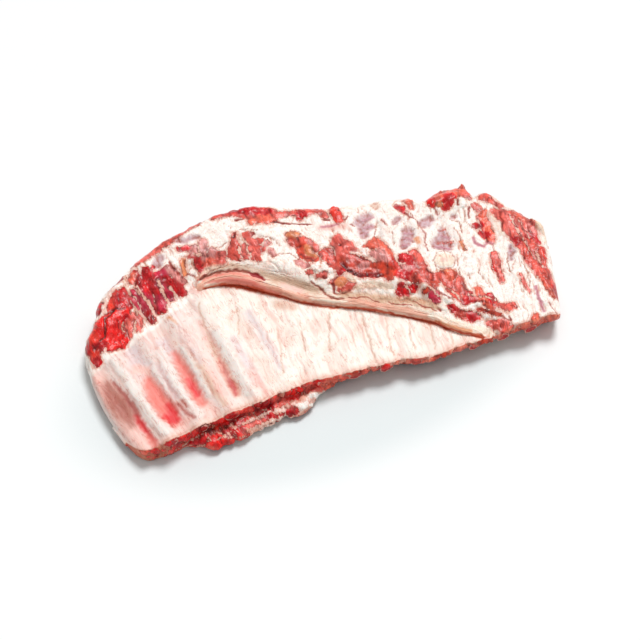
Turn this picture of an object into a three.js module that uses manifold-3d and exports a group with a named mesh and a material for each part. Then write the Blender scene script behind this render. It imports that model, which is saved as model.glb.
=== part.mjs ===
// Raw rack of pork ribs with its skirt flap, lying bone side up.
//
// Millimetres, +Z up. X runs along the rack, across the ribs. Y runs from the sawn rib ends at
// the front to the breast side at the back. The rack lies on z = 0, and the origin is on that
// plane under the middle of the rack's box.
//
// The meat slab has a pocket round each rib bone, so every bone's sawn end shows in its front
// face. The skirt flap is cut to the slab that it lies on.
//
// Every place is first given in the rack's own plan, in which the rib lines fan out a little
// from the front edge. A rib line is named by q, the x where it meets FAN_FRONT.
import * as THREE from "three";
import { mergeVertices } from "three/addons/utils/BufferGeometryUtils.js";
import Module from "manifold-3d";

// The fan of the rib lines
const FAN_FRONT = -80; // the y where a rib line's x is its q
const FAN_SPREAD = 0.0015; // how fast the lines lean outwards, per mm
const FAN_UPRIGHT = -75; // the q of the line that doesn't lean

// The outline, as rib line, front y and back y
const OUTLINE = [
  [-201, -47, -26],
  [-199, -57, -4],
  [-194, -66, 26],
  [-188, -68, 50],
  [-181, -68, 66],
  [-170, -67, 78],
  [-158, -66, 99],
  [-148, -65, 111],
  [-116, -63, 134],
  [-80, -62, 149],
  [-45, -61, 156],
  [-17, -65, 148],
  [19, -70, 123],
  [57, -75, 110],
  [92, -80, 99],
  [102, -81, 91],
  [114, -82, 96],
  [137, -83, 95],
  [143, -83, 80],
  [150, -84, 81],
  [158, -84, 75],
  [168, -85, 58],
  [180, -85, 42],
  [188, -86, 32],
  [195, -86, 21],
  [198, -75, 12],
  [200, -24, -2],
];

// The edge of the meat behind the bare rib side, as x and y. The skirt flap lies along the
// middle stretch of it.
const MEAT_EDGE = [
  [-216, 26],
  [-195, 34],
  [-165, 45],
  [-130, 59],
  [-99, 71],
  [-82, 76],
  [-62, 69],
  [-40, 51],
  [-12, 24],
  [23, 0],
  [58, -26],
  [83, -46],
  [92, -59],
  [104, -71],
  [117, -83],
  [128, -98],
  [150, -135],
];

// Heights of the upper side
const RIB_SIDE_HEIGHT = 19.5;
const RIB_SIDE_DROP = 2.5; // less at the right end
const RIB_SIDE_DROPS = [60, 190]; // from and to this q
const BACK_HEIGHT = 33;
const RIGHT_BACK_HEIGHT = 23;
const LEFT_BACK_HEIGHT = 27;
const BACK_RISES = [-150, -90]; // from and to this q
const BACK_LOWERS = [70, 135];
const STEP_START = 8; // from the meat's edge to the foot of the rise
const STEP_END = 34;

// How thick the edges are where they close, and how far their rounding reaches
const RIM_HEIGHT = 7;
const BACK_RIM_HEIGHT = 12;
const BACK_RIM_DEPTH = 60;
const RIM_ENDS = 40; // how far from the two ends the back edge grows thick
const LEFT_ROUND = 27;
const RIGHT_ROUND = 15;
const BACK_ROUND = 17;
const UNDER_ROUND = 11;
const EDGE_CREST = 0.4; // keeps the closing edge from being knife thin

// The underside, which clears the table along the front, to the right of the trimmings
const FRONT_LIFT = 6;
const LIFT_DEPTH = 45;
const LIFT_START = -50;
const LIFT_END = -15;

// The trimmings: meat and fat that stick out below the sawn ribs at the front left
const TRIMMINGS_HEIGHT = 11;
const TRIMMINGS_REACH = 15;
const TRIMMINGS_SPAN = [-166, -136, -58, -26]; // starts, is full, thins and ends, along q
const TRIMMINGS_FOOT = 0.7; // shares of the reach at the table and on top of the trimmings
const TRIMMINGS_SHELF = 0.55;
const RAGGED_SIZE = 9;
const RAGGED_LEAST = 0.75;
const RAGGED_MORE = 0.5;

// The front face: its ledge, as shares of the height, and how far it stands out
const LEDGE_SHARE = 0.45;
const LEDGE_RISE = 0.07; // more over the trimmings
const LEDGE_FLOOR = 0.1; // the least height between the trimmings' top and the ledge
const FOOT_OUT = 0.6;
const LEDGE_OUT = 0.3;
const FACE_OUT = 0.8;
const BROW_OUT = 0.2;

// The ribs
const RIB_COUNT = 13;
const RIB_PITCH = 28.2;
const FIRST_RIB = -172.5;
const RIB_WIDTH = 12.5;
const RIB_THICKNESS = 8;
const RIB_COVER = 2; // membrane and thin meat over the bone
const RIB_END_PROUD = 1.2; // how far the sawn end stands out of the meat
const RIB_BACK_Y = 52;
const RIB_BACK_MARGIN = 34; // the least meat behind a short end rib
const RIDGE_LEFT = 4.6;
const RIDGE_MIDDLE = 1.3;
const RIDGE_RIGHT = 2.6;
const RIDGES_FLATTEN = [-115, -70]; // from and to this q
const RIDGES_RETURN = [90, 140];
const RIDGE_BACK = 0.5; // share that still shows through the meat
const RIDGES_SHOW_BEHIND = [60, 120]; // from and to this q
const RIDGES_FADE = 20; // how far behind the meat's edge
const RIB_WAIST = 0.14; // how much narrower a bone is halfway
const POCKET_OUT = 6; // how far a bone's pocket runs out of the front face
const FIT_GAP = 0.35;

// The skirt flap, a sheet of muscle with a rolled front lip and a fold behind it
const FLAP_START = -97;
const FLAP_END = 118;
const FLAP_REACH_LEFT = 33; // from the lip back to where the flap sinks into the meat
const FLAP_REACH_RIGHT = 21;
const FLAP_NARROWING = [-60, 90]; // along x
const LIP_RADIUS_LEFT = 5.6;
const LIP_RADIUS = 4.4;
const LIP_THINS = [-55, -10]; // along x
const LIP_LIFT = 1.2;
const FLAP_TAPER = 34;
const FLAP_TIP = 0.15; // share of the full size that is left at the two tips
const FLAP_SINK = 3; // how far its underside reaches into the meat
const FOLD_BEHIND = 12.5; // the groove between the lip and the second fold
const FOLD_WIDTH = 4.5;
const FOLD_DEPTH = 3;
const FOLD_SPAN = [-5, 45]; // the groove thins and ends, along x

// Lumps (raised) and hollows (sunk) of the upper side: x, y, half length, half width, turn in
// degrees from X, and height. Each is a bell that falls off by LUMP_FALL.
const LUMP_FALL = 1.4;
const LUMPS = [
  [-73, 131, 40, 11, 16, 4.0], // fat along the back
  [-12, 107, 26, 13, -50, 3.5], // fat beside the skirt
  [-64, 102, 30, 12, 5, -2.5], // lean behind the skirt
  [9, 74, 24, 8, -66, -3.5], // brown lean strips
  [29, 47, 18, 8, 70, -2.5],
  [57, 26, 26, 12, -28, -5.5], // the deep hollow of the breast
  [74, 36, 24, 6, -82, 1.5],
  [47, 62, 13, 11, 60, 1.5],
  [15, 43, 13, 8, -15, 3.0], // fat in front of it
  [24, 16, 12, 9, 10, 2.0],
  [92, 13, 17, 13, 40, 1.5], // lean at the end of the skirt
  [128, 8, 16, 11, 10, 3.0], // gristle knob
  [117, -22, 25, 9, -80, -2.5],
  [107, -58, 17, 9, -50, -2.5],
  [139, -52, 20, 8, -60, 2.5],
  [131, -80, 12, 10, 0, -1.5],
  [164, 77, 26, 13, 8, 7.0], // lump at the back right
  [180, 32, 27, 7, 72, -3.0], // lean between the right ribs
  [165, -16, 16, 5, 70, -2.5],
  [205, 14, 34, 10, 78, 2.5], // strip of muscle along the right end
  [-186, 60, 24, 15, 50, 2.5], // red end meat
  [-161, 92, 22, 8, 65, 2.0],
  [-142, 88, 32, 6, 88, 1.8],
  [-126, 92, 30, 6, 90, 1.8],
  [-109, 92, 20, 8, 88, 1.5],
];
const CRAG_SIZE = 13;
const CRAG_HEIGHT = 2;
const CRAG_FADE = 12; // how far behind the meat's edge they are full

// Fineness of the facets
const STATION_STEP = 4.5;
const END_STEPS = [0, 0.8, 2, 3.6, 6];
const TOP_ROWS = 20;
const FRONT_INSET = 1.6; // from the front face to the first row on top
const BACK_STEPS = [0, 0.9, 3.2, 7.5];
const BACK_GAP = 6; // from the last even row to the back steps
const UNDER_ROWS = 4;
const UNDER_INSET = 8; // from the front face to the last row underneath
const BONE_SIDES = 10;
const BONE_STEPS = 7;
const FLAP_STEPS = 32;
const LIP_ANGLES = [-60, -115, -160, 160, 120, 80]; // from under the lip over its front
const FLAP_TOPS = [0.1, 0.21, 0.33, 0.48, 0.66, 0.83, 0.95, 1.06]; // shares of the reach
const FLAP_UNDERS = [1.06, 0.6, 0.25];

const COLOURS = {
  meat: { color: 0xe3a79c, roughness: 0.45, metalness: 0 },
  skirt: { color: 0xd98f7c, roughness: 0.4, metalness: 0 },
  bone: { color: 0xa5232a, roughness: 0.55, metalness: 0 },
};

const wasm = await Module();
wasm.setup();

const clamp01 = (v) => Math.min(1, Math.max(0, v));

function smoothstep(low, high, v) {
  const k = clamp01((v - low) / (high - low));
  return k * k * (3 - 2 * k);
}

const mix = (a, b, k) => a + (b - a) * k;

// Column `column` of a table at x, by a cubic through the rows whose slopes are those of the
// neighbouring rows.
function along(table, column, x) {
  const last = table.length - 1;
  let i = 0;
  while (i < last - 1 && x > table[i + 1][0]) i += 1;
  const slope = (k) => {
    const a = table[Math.max(k - 1, 0)];
    const b = table[Math.min(k + 1, last)];
    return (b[column] - a[column]) / (b[0] - a[0]);
  };
  const [a, b] = [table[i], table[i + 1]];
  const run = b[0] - a[0];
  const k = clamp01((x - a[0]) / run);
  const rise = b[column] - a[column];
  const startBend = slope(i) * run - rise;
  const endBend = -slope(i + 1) * run + rise;
  return (
    mix(a[column], b[column], k) +
    k * (1 - k) * ((1 - k) * startBend + k * endBend)
  );
}

const Q_START = OUTLINE[0][0];
const Q_END = OUTLINE[OUTLINE.length - 1][0];

// The x of rib line q at y, and the rib line through a point.
const fanX = (q, y) => q + FAN_SPREAD * (q - FAN_UPRIGHT) * (y - FAN_FRONT);
const fanQ = (x, y) => {
  const run = FAN_SPREAD * (y - FAN_FRONT);
  return (x + FAN_UPRIGHT * run) / (1 + run);
};

// 0 at an edge, 1 from `reach` inwards, as a quarter circle.
function roundOff(distance, reach) {
  const k = 1 - clamp01((distance + EDGE_CREST) / reach);
  return Math.sqrt(1 - k * k);
}

// A smooth random value from 0 to 1 on a grid of unit cells, always the same one.
function hash(i, j) {
  const v = Math.sin(i * 127.1 + j * 311.7) * 43758.5453;
  return v - Math.floor(v);
}

function valueNoise(x, y) {
  const [i, j] = [Math.floor(x), Math.floor(y)];
  const [u, v] = [smoothstep(0, 1, x - i), smoothstep(0, 1, y - j)];
  const near = mix(hash(i, j), hash(i + 1, j), u);
  const far = mix(hash(i, j + 1), hash(i + 1, j + 1), u);
  return mix(near, far, v);
}

// How far a point lies behind the meat's edge, square to that edge.
function behindEdge(x, y) {
  const step = 1;
  const edge = along(MEAT_EDGE, 1, x);
  const slope = (along(MEAT_EDGE, 1, x + step) - edge) / step;
  return (y - edge) / Math.hypot(1, slope);
}

// The rounded rib ridges, which fade under the meat.
function ridges(q, behind) {
  const wave = 0.5 + 0.5 * Math.cos((2 * Math.PI * (q - FIRST_RIB)) / RIB_PITCH);
  const leftToMiddle = mix(RIDGE_LEFT, RIDGE_MIDDLE, smoothstep(...RIDGES_FLATTEN, q));
  const height = mix(leftToMiddle, RIDGE_RIGHT, smoothstep(...RIDGES_RETURN, q));
  const showsBehind = RIDGE_BACK * smoothstep(...RIDGES_SHOW_BEHIND, q);
  const shows = mix(1, showsBehind, smoothstep(0, RIDGES_FADE, behind));
  return (wave - 0.5) * height * shows;
}

function lumps(x, y) {
  let sum = 0;
  for (const [cx, cy, halfLength, halfWidth, turn, height] of LUMPS) {
    const angle = THREE.MathUtils.degToRad(turn);
    const [dx, dy] = [x - cx, y - cy];
    const u = (dx * Math.cos(angle) + dy * Math.sin(angle)) / halfLength;
    const v = (dy * Math.cos(angle) - dx * Math.sin(angle)) / halfWidth;
    sum += height * Math.exp(-LUMP_FALL * (u * u + v * v));
  }
  return sum;
}

// The height over the bare ribs, which is a little less at the right end.
const ribSideHeight = (q) => RIB_SIDE_HEIGHT - RIB_SIDE_DROP * smoothstep(...RIB_SIDE_DROPS, q);

// The upper side's height away from the edges.
function upperHeight(x, y) {
  const q = fanQ(x, y);
  const behind = behindEdge(x, y);
  const middleAndRight = mix(BACK_HEIGHT, RIGHT_BACK_HEIGHT, smoothstep(...BACK_LOWERS, q));
  const back = mix(LEFT_BACK_HEIGHT, middleAndRight, smoothstep(...BACK_RISES, q));
  const meat = smoothstep(STEP_START, STEP_END, behind);
  const crags = (valueNoise(x / CRAG_SIZE, y / CRAG_SIZE) - 0.5) * 2 * CRAG_HEIGHT;
  const craggy = crags * smoothstep(0, CRAG_FADE, behind);
  return mix(ribSideHeight(q), back, meat) + ridges(q, behind) + lumps(x, y) + craggy;
}

// A place of the plan: rib line q, at a share t of the way from the front to the back.
function place(q, t) {
  const frontY = along(OUTLINE, 1, q);
  const backY = along(OUTLINE, 2, q);
  const y = mix(frontY, backY, t);
  return { x: fanX(q, y), y, q, left: q - Q_START, right: Q_END - q, back: backY - y, front: y - frontY };
}

function rimHeight(p) {
  const ends = Math.min(smoothstep(0, RIM_ENDS, p.left), smoothstep(0, RIM_ENDS, p.right));
  return mix(RIM_HEIGHT, BACK_RIM_HEIGHT, ends * (1 - smoothstep(0, BACK_RIM_DEPTH, p.back)));
}

function topZ(p) {
  const rim = rimHeight(p);
  const full = roundOff(p.left, LEFT_ROUND) * roundOff(p.right, RIGHT_ROUND) * roundOff(p.back, BACK_ROUND);
  return rim + (upperHeight(p.x, p.y) - rim) * full;
}

function underZ(p) {
  const rim = rimHeight(p);
  const full = roundOff(p.left, UNDER_ROUND) * roundOff(p.right, UNDER_ROUND) * roundOff(p.back, UNDER_ROUND);
  const lift = FRONT_LIFT * smoothstep(LIFT_START, LIFT_END, p.q) * (1 - smoothstep(0, LIFT_DEPTH, p.front));
  return rim * (1 - full) + lift;
}

// The front face from the underside up, as how far it stands out and its height. The trimmings
// are its lower tier.
function frontFace(q) {
  const p = place(q, 0);
  const [from, full, thins, to] = TRIMMINGS_SPAN;
  const trimmings = smoothstep(from, full, q) * (1 - smoothstep(thins, to, q));
  const ragged = RAGGED_LEAST + RAGGED_MORE * valueNoise(q / RAGGED_SIZE, 3);
  const out = TRIMMINGS_REACH * trimmings * ragged;
  const [low, high] = [underZ(p), topZ(p)];
  const ledge = mix(low, high, LEDGE_SHARE + LEDGE_RISE * trimmings);
  const tier = Math.min(ledge - LEDGE_FLOOR * (ledge - low), TRIMMINGS_HEIGHT);
  return [
    [out * TRIMMINGS_FOOT, low],
    [out + FOOT_OUT, mix(low, tier, 0.35)],
    [out, mix(low, tier, 0.8)],
    [out * TRIMMINGS_SHELF, tier],
    [LEDGE_OUT, ledge],
    [FACE_OUT, mix(ledge, high, 0.5)],
    [BROW_OUT, mix(ledge, high, 0.88)],
  ];
}

// One closed loop of the rack's skin over rib line q: up the front face, back over the top and
// forward along the underside.
function skinLoop(q) {
  const width = along(OUTLINE, 2, q) - along(OUTLINE, 1, q);
  const points = frontFace(q).map(([out, z]) => {
    const y = along(OUTLINE, 1, q) - out;
    return new THREE.Vector3(fanX(q, y), y, z);
  });
  const frontInset = FRONT_INSET / width;
  const backStart = 1 - (BACK_STEPS[BACK_STEPS.length - 1] + BACK_GAP) / width;
  const tops = [];
  for (let j = 0; j < TOP_ROWS; j += 1) tops.push(mix(frontInset, backStart, j / (TOP_ROWS - 1)));
  for (const step of [...BACK_STEPS].reverse()) tops.push(1 - step / width);
  for (const t of tops) {
    const p = place(q, t);
    points.push(new THREE.Vector3(p.x, p.y, topZ(p)));
  }
  const unders = BACK_STEPS.slice(1).map((step) => 1 - step / width);
  for (let j = 0; j < UNDER_ROWS; j += 1) unders.push(mix(backStart, UNDER_INSET / width, j / (UNDER_ROWS - 1)));
  for (const t of unders) {
    const p = place(q, t);
    points.push(new THREE.Vector3(p.x, p.y, underZ(p)));
  }
  return points;
}

// Joins loops of equal length into a closed skin, each end filled by a fan round its middle.
function loft(loops) {
  const size = loops[0].length;
  const positions = loops.flat().flatMap((p) => [p.x, p.y, p.z]);
  const triangles = [];
  for (let i = 0; i < loops.length - 1; i += 1) {
    for (let j = 0; j < size; j += 1) {
      const k = (j + 1) % size;
      const [a, b, c, d] = [i * size + j, i * size + k, (i + 1) * size + k, (i + 1) * size + j];
      triangles.push(a, b, c, a, c, d);
    }
  }
  const fan = (row, turned) => {
    const centre = new THREE.Vector3();
    for (const p of loops[row]) centre.addScaledVector(p, 1 / size);
    const hub = positions.length / 3;
    positions.push(centre.x, centre.y, centre.z);
    for (let j = 0; j < size; j += 1) {
      const [a, b] = [row * size + j, row * size + ((j + 1) % size)];
      triangles.push(...(turned ? [hub, b, a] : [hub, a, b]));
    }
  };
  fan(0, true);
  fan(loops.length - 1, false);
  return solidFrom(positions, triangles);
}

// A manifold solid from positions and triangles, with its faces pointing out.
function solidFrom(positions, triangles) {
  const geometry = new THREE.BufferGeometry();
  geometry.setAttribute("position", new THREE.Float32BufferAttribute(positions, 3));
  geometry.setIndex(triangles);
  const merged = mergeVertices(geometry, 1e-4);
  const make = (index) =>
    new wasm.Manifold(
      new wasm.Mesh({
        numProp: 3,
        vertProperties: merged.attributes.position.array,
        triVerts: new Uint32Array(index),
      }),
    );
  const made = make(merged.index.array);
  if (made.volume() > 0) return made;
  const turned = [...merged.index.array];
  for (let i = 0; i < turned.length; i += 3) [turned[i], turned[i + 1]] = [turned[i + 1], turned[i]];
  return make(turned);
}

function rackSkin() {
  const reach = END_STEPS[END_STEPS.length - 1];
  const count = Math.round((Q_END - Q_START - 2 * reach) / STATION_STEP);
  const stations = END_STEPS.slice(0, -1).map((d) => Q_START + d);
  for (let i = 0; i <= count; i += 1) stations.push(mix(Q_START + reach, Q_END - reach, i / count));
  for (const d of END_STEPS.slice(0, -1).reverse()) stations.push(Q_END - d);
  return loft(stations.map(skinLoop));
}

// A rib bone, an oval bar under its ridge from the sawn front to under the meat. `grow`
// widens it all round, and `out` lengthens it at the front, for the pocket that it lies in.
function ribBone(q, grow, out) {
  const frontY = along(OUTLINE, 1, q) - RIB_END_PROUD - out;
  const backY = Math.min(RIB_BACK_Y, along(OUTLINE, 2, q) - RIB_BACK_MARGIN) + grow;
  const rings = [];
  for (let i = 0; i <= BONE_STEPS; i += 1) {
    const y = mix(frontY, backY, i / BONE_STEPS);
    const x = fanX(q, y);
    const insideY = Math.max(y, along(OUTLINE, 1, q) + 2);
    const behind = behindEdge(x, insideY);
    const skin = ribSideHeight(q) + ridges(q, Math.min(behind, 0));
    const z = skin - RIB_COVER - RIB_THICKNESS / 2;
    const waist = 1 - RIB_WAIST * Math.sin((Math.PI * i) / BONE_STEPS);
    const ring = [];
    for (let j = 0; j < BONE_SIDES; j += 1) {
      const angle = (2 * Math.PI * j) / BONE_SIDES;
      const halfWidth = (RIB_WIDTH / 2) * waist + grow;
      const halfThickness = RIB_THICKNESS / 2 + grow;
      ring.push(new THREE.Vector3(x + halfWidth * Math.cos(angle), y, z + halfThickness * Math.sin(angle)));
    }
    rings.push(ring);
  }
  return loft(rings);
}

// The skirt flap before it is cut to the rack under it: a round lip, then a top that follows the
// rack and comes down on it behind, over an underside that reaches into the rack.
function flapBlank() {
  const loops = [];
  for (let i = 0; i <= FLAP_STEPS; i += 1) {
    const x = mix(FLAP_START, FLAP_END, i / FLAP_STEPS);
    const y = along(MEAT_EDGE, 1, x);
    const slope = along(MEAT_EDGE, 1, x + 0.5) - along(MEAT_EDGE, 1, x - 0.5);
    const back = new THREE.Vector2(-slope, 1).normalize();
    const size = mix(FLAP_TIP, 1, roundOff(Math.min(x - FLAP_START, FLAP_END - x), FLAP_TAPER));
    const radius = size * mix(LIP_RADIUS_LEFT, LIP_RADIUS, smoothstep(...LIP_THINS, x));
    const reach = size * mix(FLAP_REACH_LEFT, FLAP_REACH_RIGHT, smoothstep(...FLAP_NARROWING, x));
    const folded = size * FOLD_DEPTH * (1 - smoothstep(...FOLD_SPAN, x));
    const rackZ = (m) => upperHeight(x + back.x * m, y + back.y * m);
    const at = (m, z) => new THREE.Vector3(x + back.x * m, y + back.y * m, z);
    const loop = LIP_ANGLES.map((degrees) => {
      const angle = THREE.MathUtils.degToRad(degrees);
      const lipZ = rackZ(0) + LIP_LIFT + radius;
      return at(radius * (1 + Math.cos(angle)), lipZ + radius * Math.sin(angle));
    });
    for (const share of FLAP_TOPS) {
      const m = mix(radius, reach, share);
      const cover = (LIP_LIFT + 2 * radius) * (1 - share ** 2);
      const groove = folded * Math.exp(-(((m - FOLD_BEHIND) / FOLD_WIDTH) ** 2));
      loop.push(at(m, rackZ(m) + cover - groove));
    }
    for (const share of FLAP_UNDERS) {
      const m = mix(radius, reach, share);
      loop.push(at(m, rackZ(m) - FLAP_SINK));
    }
    loops.push(loop);
  }
  return loft(loops);
}

// The largest of the bodies that a cut leaves.
const largest = (solid) => solid.decompose().sort((a, b) => b.volume() - a.volume())[0];

function meshOf(name, solid, look, shift) {
  const data = solid.getMesh();
  const positions = [];
  for (let i = 0; i < data.numVert; i += 1) {
    for (let k = 0; k < 3; k += 1) positions.push(data.vertProperties[i * data.numProp + k]);
  }
  const geometry = new THREE.BufferGeometry();
  geometry.setAttribute("position", new THREE.Float32BufferAttribute(positions, 3));
  geometry.setIndex([...data.triVerts]);
  geometry.translate(...shift);
  geometry.computeVertexNormals();
  const mesh = new THREE.Mesh(geometry, new THREE.MeshStandardMaterial(look));
  mesh.name = name;
  return mesh;
}

const ribLines = Array.from({ length: RIB_COUNT }, (_, k) => FIRST_RIB + k * RIB_PITCH);
const bones = ribLines.map((q) => ribBone(q, 0, 0));
const pockets = ribLines.map((q) => ribBone(q, FIT_GAP, POCKET_OUT));
const slab = largest(pockets.reduce((solid, pocket) => solid.subtract(pocket), rackSkin()));
const flap = largest(flapBlank().subtract(slab.translate([0, 0, FIT_GAP])));

const bounds = slab.boundingBox();
for (const solid of [flap, ...bones]) {
  const box = solid.boundingBox();
  for (let k = 0; k < 3; k += 1) {
    bounds.min[k] = Math.min(bounds.min[k], box.min[k]);
    bounds.max[k] = Math.max(bounds.max[k], box.max[k]);
  }
}
const shift = [-(bounds.min[0] + bounds.max[0]) / 2, -(bounds.min[1] + bounds.max[1]) / 2, -bounds.min[2]];

const group = new THREE.Group();
group.name = "rack_of_ribs";
group.add(meshOf("meat_slab", slab, COLOURS.meat, shift));
group.add(meshOf("skirt_flap", flap, COLOURS.skirt, shift));
bones.forEach((bone, k) => {
  group.add(meshOf(`rib_bone_${String(k + 1).padStart(2, "0")}`, bone, COLOURS.bone, shift));
});

export default group;
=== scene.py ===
"""Looks of a raw rack of pork ribs that lies bone side up, with its skirt flap across the ribs.

Shapes are worked out in the rack's own plan, in millimetres. X runs along the rack, across the
ribs, Y from the sawn rib ends to the breast side, and the rack lies on z = 0. The plan is placed
in the frame by the last rib bone's box, and meshes are in metres.

Tissue is laid on by strokes. Their places are those that a line of sight down the
camera's slope gives on the level SIGHT_LEVEL, so that a stroke falls on the relief as it shows.
"""

import logging
from dataclasses import dataclass
from enum import Enum
from typing import NamedTuple

import bpy
import numpy as np
from mathutils import Matrix, Vector


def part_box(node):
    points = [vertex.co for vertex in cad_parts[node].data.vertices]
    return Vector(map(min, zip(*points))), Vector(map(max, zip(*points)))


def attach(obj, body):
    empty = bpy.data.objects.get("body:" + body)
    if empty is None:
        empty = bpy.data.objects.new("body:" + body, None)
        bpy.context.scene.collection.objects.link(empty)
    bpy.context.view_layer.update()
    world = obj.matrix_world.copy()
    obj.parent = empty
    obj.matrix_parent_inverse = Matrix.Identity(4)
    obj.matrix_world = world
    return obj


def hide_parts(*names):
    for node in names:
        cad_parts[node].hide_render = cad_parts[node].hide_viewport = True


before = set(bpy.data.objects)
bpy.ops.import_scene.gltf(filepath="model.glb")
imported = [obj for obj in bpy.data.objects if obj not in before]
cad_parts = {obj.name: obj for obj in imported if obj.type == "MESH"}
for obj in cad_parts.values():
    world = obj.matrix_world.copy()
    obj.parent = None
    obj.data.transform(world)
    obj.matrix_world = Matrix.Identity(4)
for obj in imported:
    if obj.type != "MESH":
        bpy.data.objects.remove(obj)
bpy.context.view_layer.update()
MM = 0.001
BODY = "root"

# The camera, which the strokes' places also follow
AZIMUTH = -25.0
ELEVATION = 50.0
DISTANCE = 1250.0
FOCAL_LENGTH = 77.9
SENSOR_WIDTH = 36.0
CAMERA_TARGET = (-3.5, 3.2, 13.2)
SIGHT_LEVEL = 24.0
LEAN_SPREAD = 1.4

log = logging.getLogger("rack_of_ribs")
Array = np.ndarray
Colour = tuple[float, float, float]


def smoothstep(low: float, high: float, v: Array) -> Array:
    """Rises from 0 at low to 1 at high, level at both ends."""
    k = np.clip((v - low) / (high - low), 0.0, 1.0)
    return k * k * (3.0 - 2.0 * k)


def mix(a: Array, b: Array, k: Array) -> Array:
    """Goes from a to b as k goes from 0 to 1."""
    return a + (b - a) * k


def mix_colour(a: Array, b: Array, k: Array) -> Array:
    """Mixes two fields of colour by a field of shares."""
    return a + (np.asarray(b) - a) * k[..., None]


def along(table: tuple, column: int, x: Array) -> Array:
    """Reads a column of a table at x, by a cubic with the slopes of the neighbouring rows.

    Args:
        table: Rows of numbers, sorted by their first.
        column: The column to read.
        x: Places on the first column.

    Returns:
        The column's values at x.
    """
    rows = np.asarray(table, float)
    xs, ys = rows[:, 0], rows[:, column]
    at = np.arange(len(xs))
    before, after = np.maximum(at - 1, 0), np.minimum(at + 1, len(xs) - 1)
    slopes = (ys[after] - ys[before]) / (xs[after] - xs[before])
    i = np.clip(np.searchsorted(xs, x) - 1, 0, len(xs) - 2)
    run, rise = xs[i + 1] - xs[i], ys[i + 1] - ys[i]
    k = np.clip((x - xs[i]) / run, 0.0, 1.0)
    bend = (1.0 - k) * (slopes[i] * run - rise) + k * (rise - slopes[i + 1] * run)
    return ys[i] + rise * k + k * (1.0 - k) * bend


class Noise:
    """Smooth random fields in space, the same on every run."""

    def __init__(self, seed: int) -> None:
        """Draws the table of slopes."""
        draw = np.random.default_rng(seed)
        self.order = np.tile(draw.permutation(256), 2)
        slopes = draw.normal(size=(256, 3))
        self.slopes = slopes / np.linalg.norm(slopes, axis=1, keepdims=True)

    def _pick(self, corner: Array) -> Array:
        """Gives each corner of the unit grid its own number from 0 to 255."""
        i, j, k = (corner[..., n] & 255 for n in range(3))
        return self.order[self.order[self.order[i] + j] + k]

    def field(self, p: Array, size: float) -> Array:
        """Gradient noise: on each grid corner a random slope, mixed smoothly between corners.

        Args:
            p: Places, (..., 3).
            size: Width of a bump, in mm.

        Returns:
            Values from about -1 to 1.
        """
        q = p / size
        base = np.floor(q).astype(int)
        f = q - base
        fade = f * f * f * (f * (6.0 * f - 15.0) + 10.0)
        total = np.zeros(p.shape[:-1])
        for corner in np.ndindex(2, 2, 2):
            offset = np.array(corner)
            slope = self.slopes[self._pick(base + offset)]
            share = np.where(offset == 1, fade, 1.0 - fade).prod(axis=-1)
            total += share * (slope * (f - offset)).sum(axis=-1)
        return total * 1.6

    def layers(self, p: Array, size: float, count: int) -> Array:
        """Adds fields, each half as wide and half as strong as the last."""
        return sum(self.field(p + 37.0 * n, size / 2**n) / 2**n for n in range(count))


NOISE = Noise(11)


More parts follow.
